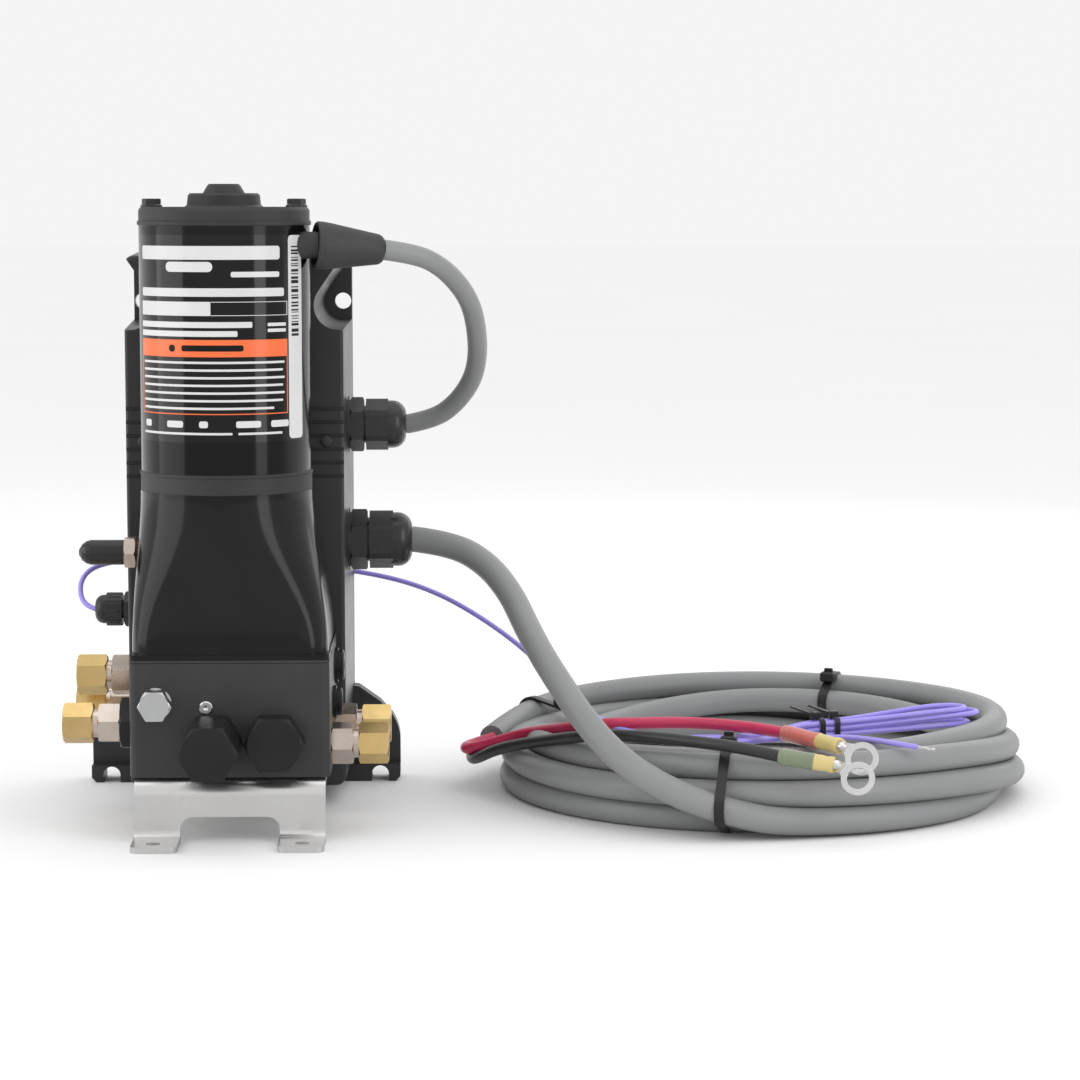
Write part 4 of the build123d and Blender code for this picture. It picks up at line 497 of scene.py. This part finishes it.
# the hank's route; s runs along it from the pinch, t across it
def hankPoints(settings):
    def at(s, t, z):
        spot = hankMiddle + hankAlong * s + hankAcross * t
        return (spot.x, spot.y, z)

    waist, bulge = settings["waist"], settings["bulge"]
    points = [at(*p) for p in settings["leadIn"]]
    for i, (right, half, tipHeight, height) in enumerate(settings["loops"]):
        out = [(-0.01, waist, height), (0.01, waist, height), (right * 0.5, bulge, (height + tipHeight) / 2),
               (right - 0.014, half, tipHeight), (right - 0.002, half * 0.85, tipHeight)]
        home = [(s, -t, z) for s, t, z in out[::-1]]
        points += [at(*p) for p in out + [(right + 0.003, 0, tipHeight)] + home]
        if i < len(settings["folds"]):
            left, near, far = settings["folds"][i]
            points += [at(-0.03, near * 0.75, 0.0388 if i else 0.0382), at(left + 0.012, near, 0.0383),
                       at(left + 0.003, near * 0.9, 0.0383), at(left - 0.003, (near + far) / 2, 0.0384),
                       at(left + 0.003, far * 0.9, 0.0385), at(left + 0.012, far, 0.0386),
                       at(-0.03, far * 0.8, 0.0392)]
    return points + [at(*p) for p in settings["turnBack"]]


signalCord = layCord("signalWire", signalWire["run"] + hankPoints(signalWire) + signalWire["tail"],
                     signalWire["diameter"], made["violet_insulation"])
for cord in (powerCord, motorCord, redCord, blackCord, signalCord):
    print("cord", cord.name, round(lengthOf(lineOf(cord)), 3))


# ---- crimped sleeves and ring terminals

sleeve = {"radius": 0.0041, "bore": 0.0029, "barrel": 0.0026, "joint": 0.64,
          "red": (0.62, 0.16, 0.13), "black": (0.2, 0.24, 0.15), "clear": (0.62, 0.5, 0.2)}
terminal = {"outer": 0.00825, "hole": 0.0052, "thickness": 0.0012, "edge": 0.0002, "neck": 0.003, "flare": 0.002,
            "facing": (-0.25, -0.85, 0.45)}


# tinted nylon up to the joint, then clear nylon over the barrel, told by the map's height
def sleeveFinish(name, tint):
    material = makeFinish(name, {"first": tint, "second": tuple(0.86 * c for c in tint), "rough": (0.2, 0.32),
                                 "fine": 500.0, "depth": 0.0002, "coat": 0.3, "glow": 0.25})
    tree = material.node_tree
    shader = tree.nodes["Principled BSDF"]
    own = shader.inputs["Base Color"].links[0].from_socket
    along = addNode(tree, "ShaderNodeSeparateXYZ", {0: addNode(tree, "ShaderNodeUVMap", uv_map="UVMap").outputs[0]})
    step = remap(tree, along.outputs["Y"], sleeve["joint"] - 0.012, sleeve["joint"] + 0.012)
    tree.links.new(mixColours(tree, step, own, (*sleeve["clear"], 1)), shader.inputs["Base Color"])
    return material


def makeSleeve(name, start, end, material):
    start, end = Vector(start), Vector(end)
    length = (end - start).length
    r, bore, barrel = sleeve["radius"], sleeve["bore"], sleeve["barrel"] + 0.0001
    rows = [(bore, 0.0), (r - 0.0006, 0.0), (r - 0.0001, 0.0006), (r, 0.002), (r * 0.99, length * 0.3),
            (r * 0.95, length * 0.45), (r, length * 0.58), (r * 1.02, length * 0.62), (r * 0.93, length * 0.66),
            (r * 0.97, length * 0.76), (r * 0.9, length * 0.86), (r * 0.98, length * 0.93),
            (r * 0.97, length - 0.0005), (r * 0.9, length), (barrel, length), (barrel, length - 0.003),
            (bore, length - 0.006), (bore, 0.0)]
    bm = bmesh.new()
    matrix = facing(start, end - start)
    addTurned(bm, matrix, rows)
    bmesh.ops.remove_doubles(bm, verts=bm.verts, dist=1e-7)
    layer = bm.loops.layers.uv.new("UVMap")
    back = matrix.inverted()
    for face in bm.faces:
        for loop in face.loops:
            local = back @ loop.vert.co
            loop[layer].uv = (atan2(local.y, local.x) / (2 * pi) + 0.5, local.z / length)
    return finishMesh(name, bm, material, angle=50)


# flat ring, a tongue that bends back to the wire's own line, and the barrel
def makeTerminal(name, sleeveStart, sleeveEnd, centre, material):
    n = Vector(terminal["facing"]).normalized()
    end, centre = Vector(sleeveEnd), Vector(centre)
    wire = (end - Vector(sleeveStart)).normalized()
    back = end - centre
    lift = back.dot(n)
    reach = back - n * lift
    reachLength = reach.length
    u = reach.normalized()
    v = n.cross(u)
    inner, outer, t, c = terminal["hole"], terminal["outer"], terminal["thickness"] / 2, terminal["edge"]
    bm = bmesh.new()
    profile = [(inner, c - t), (inner + c, -t), (outer - c, -t), (outer, c - t), (outer, t - c), (outer - c, t),
               (inner + c, t), (inner, t - c), (inner, c - t)]
    addTurned(bm, facing(centre, n, u), profile, 64)
    start, steps = inner + 0.0006, 24
    rings = []
    for i in range(steps + 1):
        share = i / steps
        x = start + (reachLength - start) * share
        ramp = max(0.0, (x - outer) / (reachLength - outer))
        ramp = ramp * ramp * (3 - 2 * ramp)
        half = terminal["neck"] + terminal["flare"] * max(0.0, 1 - (x - start) / 0.0042) ** 2
        thick = t - 0.00003
        ring = []
        for across, up in ((-half + c, -thick), (half - c, -thick), (half, c - thick), (half, thick - c),
                           (half - c, thick), (-half + c, thick), (-half, thick - c), (-half, c - thick)):
            ring.append(bm.verts.new(centre + u * x + v * across + n * (lift * ramp + up)))
        rings.append(ring)
    bridge(bm, rings)
    r = sleeve["barrel"]
    addTurned(bm, facing(end - wire * 0.004, wire),
              [(0, 0), (r, 0), (r, 0.0052), (r * 0.85, 0.0062), (0.0012, 0.0068), (0, 0.0068)], 28)
    return finishMesh(name, bm, material, angle=35)


tin = made["tinned"]
redNylon, blackNylon = sleeveFinish("redSleeveNylon", sleeve["red"]), sleeveFinish("blackSleeveNylon", sleeve["black"])
redSleeve = makeSleeve("redSleeve", redWire["run"][-1], redWire["sleeveEnd"], redNylon)
blackSleeve = makeSleeve("blackSleeve", blackWire["run"][-1], blackWire["sleeveEnd"], blackNylon)
redRing = makeTerminal("redRing", redWire["run"][-1], redWire["sleeveEnd"], redWire["ring"], tin)
blackRing = makeTerminal("blackRing", blackWire["run"][-1], blackWire["sleeveEnd"], blackWire["ring"], tin)
print("terminals made")


# ---- geometry nodes: twisted bare strands, and round grip ribs

# what both trees start from: a ring of places, and a line along z in fine steps
def startTree(name, steps, *extra):
    shape = "NodeSocketGeometry"
    tree, given, put = newGroup(name, [
        ("Geometry", shape, None), ("Count", "NodeSocketInt", 6), ("Radius", number, 0.001), ("Length", number, 0.008),
        ("Thickness", number, 0.0002), *extra, ("Finish", "NodeSocketMaterial", None)],
        [("Geometry", shape)], "GeometryNodeTree")
    ring = addNode(tree, "GeometryNodeMeshCircle", {"Vertices": given.outputs["Count"],
                                                    "Radius": given.outputs["Radius"]}, fill_type="NONE")
    up = addNode(tree, "ShaderNodeCombineXYZ", {"Z": given.outputs["Length"]})
    line = addNode(tree, "GeometryNodeCurvePrimitiveLine", {"End": up.outputs[0]})
    fine = addNode(tree, "GeometryNodeResampleCurve", {"Curve": line.outputs[0], "Count": steps})
    return tree, given, put, ring.outputs[0], fine.outputs[0]


def sweepRound(tree, given, line, sides):
    profile = addNode(tree, "GeometryNodeCurvePrimitiveCircle", {"Resolution": sides,
                                                                 "Radius": given.outputs["Thickness"]})
    return addNode(tree, "GeometryNodeCurveToMesh", {"Curve": line, "Profile Curve": profile.outputs["Curve"],
                                                     "Fill Caps": True})


def endTree(tree, given, put, shape):
    smooth = addNode(tree, "GeometryNodeSetShadeSmooth", {0: shape})
    final = addNode(tree, "GeometryNodeSetMaterial", {"Geometry": smooth.outputs[0],
                                                      "Material": given.outputs["Finish"]})
    tree.links.new(final.outputs[0], put.inputs[0])


# ribs stand in a ring round the z axis, each a rod with round ends
def makeRibTree():
    tree, given, put, ring, line = startTree("gripRibs", 9)
    along = addNode(tree, "GeometryNodeSplineParameter").outputs["Factor"]
    far = doMath(tree, "ABSOLUTE", doMath(tree, "SUBTRACT", along, 0.5))
    ends = remap(tree, far, 0.5, 0.36, 0.25, 1.0, interpolation_type="SMOOTHSTEP")
    thin = addNode(tree, "GeometryNodeSetCurveRadius", {"Curve": line, "Radius": ends})
    rod = sweepRound(tree, given, thin.outputs[0], 8)
    tree.links.new(ends, rod.inputs["Scale"])
    spread = addNode(tree, "GeometryNodeInstanceOnPoints", {"Points": ring, "Instance": rod.outputs[0]})
    real = addNode(tree, "GeometryNodeRealizeInstances", {0: spread.outputs[0]})
    endTree(tree, given, put, real.outputs[0])
    return tree


# strands twist round a line from the origin along z
def makeStrandTree():
    tree, given, put, ring, line = startTree("twistedStrands", 10, ("Twist", number, 0.0))
    spread = addNode(tree, "GeometryNodeInstanceOnPoints", {"Points": ring, "Instance": line})
    real = addNode(tree, "GeometryNodeRealizeInstances", {0: spread.outputs[0]})
    where = addNode(tree, "GeometryNodeInputPosition").outputs[0]
    height = addNode(tree, "ShaderNodeSeparateXYZ", {0: where}).outputs["Z"]
    share = doMath(tree, "DIVIDE", height, given.outputs["Length"])
    angle = doMath(tree, "MULTIPLY", share, given.outputs["Twist"])
    swirl = addNode(tree, "ShaderNodeVectorRotate", {"Vector": where, "Angle": angle}, rotation_type="Z_AXIS")
    shaped = addNode(tree, "GeometryNodeSetPosition", {"Geometry": real.outputs[0], "Position": swirl.outputs[0]})
    endTree(tree, given, put, sweepRound(tree, given, shaped.outputs[0], 6).outputs[0])
    return tree


# runs a tree and makes its result a plain piece, put where the matrix says
def grown(name, tree, values, matrix, material):
    seed = bpy.data.objects.new(name + "Seed", bpy.data.meshes.new(name + "Seed"))
    scene.collection.objects.link(seed)
    modifier = seed.modifiers.new("grow", "NODES")
    modifier.node_group = tree
    values = dict(values, Finish=material)
    for socket in tree.interface.items_tree:
        if socket.name in values:
            modifier[socket.identifier] = values[socket.name]
    depsgraph = bpy.context.evaluated_depsgraph_get()
    mesh = bpy.data.meshes.new_from_object(seed.evaluated_get(depsgraph))
    bpy.data.objects.remove(seed)
    mesh.transform(matrix)
    bm = bmesh.new()
    bm.from_mesh(mesh)
    bpy.data.meshes.remove(mesh)
    return finishMesh(name, bm, material, angle=45)


# close ribs all round the signal wire's small nut
gripRibs = {"Count": 24, "Radius": 0.0078, "Length": 0.0074, "Thickness": 0.00055}
smallNut = (-0.0647, 0.1545, 0.0953)
nutRibs = grown("nutRibs", makeRibTree(), gripRibs, facing(smallNut, (-1, 0, 0), (0, 0, 1)), made["gland_nylon"])
print("ribs made")

# the bare strands at the signal wire's end; they start inside it
strands = {"Count": 7, "Radius": 0.00062, "Length": 0.0115, "Thickness": 0.00022, "Twist": 2.4}
hidden = 0.002
tip = Vector(signalWire["tail"][-1])
lastRun = tip - Vector(signalWire["tail"][-2])
strandPlace = facing(tip - lastRun.normalized() * hidden, lastRun)
bareStrands = grown("bareStrands", makeStrandTree(), strands, strandPlace, tin)


# ---- cable ties

tie = {"width": 0.0048, "thickness": 0.0013, "angles": (-102, 64.5, 146), "headRadius": (0.115, 0.12, 0.119),
       "head": (0.0088, 0.0078, 0.0056), "headRise": 0.0026, "pawl": (0.0022, 0.0048, 0.0026), "pawlRise": 0.0034}
smallTie = {"width": 0.0026, "thickness": 0.0009, "places": ((-0.004, 10), (0.0055, -6)),
            "across": 0.0028, "levels": (0.0382, 0.0411, 0.044), "head": (0.0048, 0.0045, 0.0036),
            "headPlace": (0.002, 0.0476, 0), "tail": (-0.006, 0.004, 0.0018), "tailWay": (-0.8, 0.55, 0.22),
            "tailLength": 0.014}
quarterTurn = Matrix.Rotation(radians(90), 4, "X")


# the tight outline round a set of circles in a plane, as points at a distance outside them
def wrapOutline(circles, out):
    points = []
    for x, y, r in circles:
        points += [(x + (r + out) * cos(2 * pi * k / 48), y + (r + out) * sin(2 * pi * k / 48)) for k in range(48)]
    points = sorted(set(points))

    def half(row):
        chain = []
        for p in row:
            while len(chain) > 1 and ((chain[-1][0] - chain[-2][0]) * (p[1] - chain[-2][1])
                                      - (chain[-1][1] - chain[-2][1]) * (p[0] - chain[-2][0])) <= 0:
                chain.pop()
            chain.append(p)
        return chain[:-1]

    return half(points) + half(points[::-1])


# a band that follows a closed outline in the plane of a matrix
def addBand(bm, matrix, outline, width, thickness):
    count = len(outline)
    normals = []
    for i in range(count):
        a, b = Vector(outline[i - 1]), Vector(outline[(i + 1) % count])
        t = (b - a).normalized()
        normals.append(Vector((t.y, -t.x)))
    rings = []
    for out, level in ((0, -width / 2), (thickness, -width / 2), (thickness, width / 2), (0, width / 2)):
        rings.append([bm.verts.new(matrix @ Vector((p[0] + nrm.x * out, p[1] + nrm.y * out, level)))
                      for p, nrm in zip(outline, normals)])
    bridge(bm, rings + rings[:1], capped=False)


# a small box with cut corners, centred in a matrix
def addBlock(bm, matrix, size, cut):
    x, y, z = (s / 2 for s in size)
    outline = [(-x + cut, -y), (x - cut, -y), (x, -y + cut), (x, y - cut), (x - cut, y), (-x + cut, y), (-x, y - cut),
               (-x, -y + cut)]
    levels = [(-z, 1 - cut / x), (-z + cut, 1), (z - cut, 1), (z, 1 - cut / x)]
    rings = [[bm.verts.new(matrix @ Vector((a * s, b * s, level))) for a, b in outline] for level, s in levels]
    bridge(bm, rings)


# a plane across a bundle: x along the direction, y up
def uprightPlane(direction, place):
    matrix = Matrix((direction, upward, direction.cross(upward))).transposed().to_4x4()
    matrix.translation = place
    return matrix


coilLine = lineOf(powerCord)
centre = Vector((*powerCable["coilCentre"], 0))
bm = bmesh.new()
for angle, headRadius in zip(tie["angles"], tie["headRadius"]):
    direction = heading(angle)
    across = upward.cross(direction)
    marks = []  # where the coil's line crosses the tie's plane
    for a, b in zip(coilLine, coilLine[1:]):
        da, db = (a - centre).dot(across), (b - centre).dot(across)
        if da < 0 <= db and (a - centre).dot(direction) > 0:
            hit = a.lerp(b, -da / (db - da))
            marks.append(((hit - centre).dot(direction), hit.z))
    matrix = uprightPlane(direction, centre)
    outline = wrapOutline([(r, z, powerCable["diameter"] / 2) for r, z in marks], 0.0002)
    outline = [(x, max(y, tie["thickness"] + 0.0001)) for x, y in outline]  # above the floor
    addBand(bm, matrix, outline, tie["width"], tie["thickness"])
    over = 0.0  # the head stands on the strap's top run
    for a, b in zip(outline, outline[1:] + outline[:1]):
        if min(a[0], b[0]) <= headRadius <= max(a[0], b[0]):
            over = max(over, a[1] + (b[1] - a[1]) * (headRadius - a[0]) / ((b[0] - a[0]) or 1))
    head = matrix @ Matrix.Translation((headRadius, over + tie["thickness"] + tie["headRise"], 0))
    addBlock(bm, head @ quarterTurn, tie["head"], 0.0009)
    addBlock(bm, head @ Matrix.Translation((0, tie["pawlRise"], 0)) @ quarterTurn, tie["pawl"], 0.0003)
bigTies = finishMesh("bigTies", bm, made["tie_nylon"], angle=30)

bm = bmesh.new()
for shift, lean in smallTie["places"]:
    across = Matrix.Rotation(radians(lean), 3, "Z") @ hankAcross
    matrix = uprightPlane(across, hankMiddle + hankAlong * shift)
    circles = [(side * smallTie["across"], z, signalWire["diameter"] / 2 + 0.0002)
               for side in (-1, 1) for z in smallTie["levels"]]
    addBand(bm, matrix, wrapOutline(circles, 0.0003), smallTie["width"], smallTie["thickness"])
    addBlock(bm, matrix @ Matrix.Translation(smallTie["headPlace"]) @ quarterTurn, smallTie["head"], 0.0006)
    tailMiddle = matrix @ Vector(smallTie["headPlace"]) + Vector(smallTie["tail"])
    addBlock(bm, facing(tailMiddle, smallTie["tailWay"]),
             (smallTie["thickness"], smallTie["width"], smallTie["tailLength"]), 0.0002)
smallTies = finishMesh("smallTies", bm, made["tie_nylon"], angle=30)
print("ties made")


# ---- the film on the motor's can, with plain fields of colour

label = {"axis": (-0.0035, 0.0695), "radius": 0.0415, "film": 0.00012, "ink": 0.00006,
         "left": -72.7, "right": 67.3, "low": 0.1914, "high": 0.2902, "glue": 0.00003, "mark": 0.00004}
inkLift = label["glue"] + label["film"]


# closed curved patches on the can between two angles and two heights; corners may be rounded
def addPatch(bm, fromAngle, toAngle, low, high, corner=0.0, lift=inkLift, thick=label["ink"]):
    radius = label["radius"] + lift
    reach = degrees(corner / radius)
    ends = ((fromAngle, 1), (toAngle, -1)) if corner else ()
    count = max(2, int(abs(toAngle - fromAngle) / 2.0) + 1)
    angles = [fromAngle + (toAngle - fromAngle) * i / count for i in range(count + 1)]
    angles += [side + sign * reach * (1 - cos(radians(90 * k / 6))) for side, sign in ends for k in range(1, 7)]
    columns = []
    for a in sorted(set(round(a, 4) for a in angles)):
        cut = 0.0
        for side, sign in ends:
            depth = (a - side) * sign
            if depth < reach:
                x = 1 - depth / reach
                cut = corner * (1 - sqrt(max(0.0, 1 - x * x)))
        column = []
        over = radius + thick
        for r, z in ((radius, low + cut), (over, low + cut), (over, high - cut), (radius, high - cut)):
            x, y = label["axis"][0] + r * sin(radians(a)), label["axis"][1] - r * cos(radians(a))
            column.append(bm.verts.new((x, y, z)))
        columns.append(column)
    bridge(bm, columns)


filmInk = {"first": (0.004, 0.0039, 0.0038), "second": (0.006, 0.0058, 0.0056), "rough": (0.09, 0.15), "fine": 500.0,
           "wave": 90.0, "waviness": 0.8, "bump": 0.25, "depth": 0.00008, "coat": 0.4,
           "specular": 0.25}
whiteInk = {"first": (0.66, 0.66, 0.655), "second": (0.6, 0.6, 0.595), "rough": (0.25, 0.35), "fine": 800.0,
            "bump": 0.1}
orangeInk = {"first": (0.86, 0.16, 0.045), "second": (0.8, 0.135, 0.035), "rough": (0.22, 0.32), "fine": 800.0,
             "bump": 0.1}

bm = bmesh.new()
addPatch(bm, label["left"], label["right"], label["low"], label["high"], 0.002, label["glue"], label["film"])
labelFilm = finishMesh("labelFilm", bm, makeFinish("filmInk", filmInk), angle=30)

fields = [  # angle from, angle to, height from, height to, corner's radius
    (50.6, 65.8, 0.1924, 0.29, 0.0022),
    (-66.5, 43.0, 0.2785, 0.285, 0.0014), (-66.5, 46.5, 0.261, 0.265, 0.001),
    (-38.0, -4.0, 0.2727, 0.2775, 0.0023), (8.0, 42.5, 0.2702, 0.2728, 0.0008),
    (-67.4, -5.5, 0.2519, 0.2586, 0.0006),
    (-67.4, 22.0, 0.2462, 0.249, 0.0006), (-67.4, 12.0, 0.242, 0.2447, 0.0006),
    (33.0, 48.0, 0.2468, 0.2484, 0.0004), (33.0, 48.0, 0.244, 0.2456, 0.0004)]
bm = bmesh.new()
for field in fields:
    addPatch(bm, *field)
for row in range(7):  # seven plain bars stand for the small print
    middle = 0.2296 - row * 0.00365
    end = 46.5 - (9.0 if row == 6 else 1.5 * (row % 2))
    addPatch(bm, -64.5, end, middle - 0.00055, middle + 0.00055, 0.0004)
for a in (-66.5, 49.3):  # the outlined box
    addPatch(bm, a - 0.5, a + 0.1, 0.2519, 0.2586)
for z in (0.2519, 0.2583):
    addPatch(bm, -5.5, 49.4, z, z + 0.0003)
for k, wide in enumerate((8.0, 13.0, 6.0, 17.0, 15.0)):  # a row of plain marks
    a = -63.0 + 24.5 * k
    addPatch(bm, a, a + wide, 0.1985, 0.2017, 0.001)
for a, b in ((-65.0, 8.0), (12.0, 44.0)):
    addPatch(bm, a, b, 0.1951, 0.1962)
labelWhite = finishMesh("labelWhite", bm, makeFinish("whiteInk", whiteInk), angle=30)

bm = bmesh.new()
for a, b, low, high in ((-67.4, 49.3, 0.2323, 0.2405), (-67.4, -66.4, 0.2052, 0.2323),
                        (48.6, 49.3, 0.2052, 0.2323), (-67.4, 49.3, 0.2048, 0.2053)):
    addPatch(bm, a, b, low, high)
labelOrange = finishMesh("labelOrange", bm, makeFinish("orangeInk", orangeInk), angle=30)

bm = bmesh.new()
markLift, markThick = inkLift + label["ink"], label["mark"]
level, k = 0.2848, 0
while level > 0.242:  # plain lines down the pale strip
    tall = (0.0006, 0.0012, 0.0004, 0.0009, 0.0016, 0.0005, 0.0008)[(k * 3 + k // 4) % 7]
    addPatch(bm, 53.6, 61.6, level - tall, level, 0.0, markLift, markThick)
    level -= tall + (0.0007, 0.0011, 0.0005, 0.0014)[(k * 5 + 1) % 4]
    k += 1
addPatch(bm, -26.0, 16.0, 0.235, 0.2379, 0.001, markLift, markThick)
addPatch(bm, -36.0, -31.0, 0.2347, 0.2381, 0.0016, markLift, markThick)
labelBlack = finishMesh("labelBlack", bm, makeFinish("blackInk", dict(filmInk, rough=(0.3, 0.4), coat=0.0)), angle=30)
print("film made")


# ---- ride and replace

new = [powerCord, motorCord, redCord, blackCord, signalCord, redSleeve, blackSleeve, redRing, blackRing, nutRibs,
       bareStrands, bigTies, smallTies, labelFilm, labelWhite, labelOrange, labelBlack]
for piece in new:
    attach(piece, "unit")
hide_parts("power_cable", "power_cable_coil")
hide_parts("motor_lead")
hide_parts("red_wire")
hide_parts("black_wire")
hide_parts("signal_wire", "signal_wire_hank", "signal_wire_end")
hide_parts("wire_sleeves")
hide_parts("ring_terminals")
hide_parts("cable_ties")


# ---- floor, world and lights

stage = {"size": 40.0, "floor": (0.87, 0.87, 0.873), "mirrorNear": (0.42, 0.42, 0.425),
         "mirrorFar": (0.9, 0.9, 0.9), "near": -0.2, "far": 0.45}
floorMesh = bpy.data.meshes.new("studioFloor")
half = stage["size"] / 2
floorMesh.from_pydata([(-half, -half, 0), (half, -half, 0), (half, half, 0), (-half, half, 0)], [], [(0, 1, 2, 3)])
floorPiece = linkMesh("studioFloor", floorMesh, makeFinish("paleFloor", {
    "first": stage["floor"], "second": tuple(0.985 * c for c in stage["floor"]), "rough": (0.45, 0.55),
    "bump": 0.0, "specular": 0.0, "toneScale": 2.0, "flecks": 0.0}))
# painted reflection: glossy rays see the floor dimmer in front, as the studio keeps black pieces black, and pale
# behind
floorTree = floorPiece.material_slots[0].material.node_tree
floorShader = floorTree.nodes["Principled BSDF"]
floorTone = floorShader.inputs["Base Color"].links[0].from_socket
floorRay = addNode(floorTree, "ShaderNodeLightPath")
floorParts = addNode(floorTree, "ShaderNodeSeparateXYZ", {
    0: addNode(floorTree, "ShaderNodeTexCoord").outputs["Object"]})
floorDepth = remap(floorTree, floorParts.outputs["Y"], stage["near"], stage["far"])
floorMirror = mixColours(floorTree, floorDepth, (*stage["mirrorNear"], 1), (*stage["mirrorFar"], 1))
floorMix = mixColours(floorTree, floorRay.outputs["Is Glossy Ray"], floorTone, floorMirror)
floorTree.links.new(floorMix, floorShader.inputs["Base Color"])

sky = {"seen": 0.91, "light": 1.04, "mirror": 0.72}
world = bpy.data.worlds.new("studio")
world.use_nodes = True
scene.world = world
worldTree = world.node_tree
background = worldTree.nodes["Background"]
path = addNode(worldTree, "ShaderNodeLightPath")
strength = mixNumbers(worldTree, path.outputs["Is Glossy Ray"], sky["light"], sky["mirror"])
shown = mixNumbers(worldTree, path.outputs["Is Camera Ray"], strength, sky["seen"])
worldTree.links.new(shown, background.inputs["Strength"])
background.inputs["Color"].default_value = (1, 1, 1, 1)

lamps = [  # name, place, aim, width, height, watts
    ("leftBox", (-1.45, -0.3, 0.55), (0.0, 0.07, 0.17), 1.3, 1.7, 9.0),
    ("rightBox", (1.15, -0.85, 0.6), (0.0, 0.07, 0.17), 0.45, 1.5, 4.0),
    ("topBox", (0.15, 0.1, 1.6), (0.15, 0.1, 0.0), 1.8, 1.4, 4.0),
    ("backBox", (0.75, 1.2, 0.8), (0.1, 0.1, 0.1), 1.0, 1.0, 2.0)]
for name, spot, aim, width, height, watts in lamps:
    lamp = bpy.data.lights.new(name, "AREA")
    lamp.shape = "RECTANGLE"
    lamp.size, lamp.size_y = width, height
    lamp.energy = watts
    holder = bpy.data.objects.new(name, lamp)
    holder.location = spot
    holder.rotation_euler = (Vector(aim) - Vector(spot)).to_track_quat("-Z", "Y").to_euler()
    holder.visible_camera = False
    scene.collection.objects.link(holder)
print("lights placed")
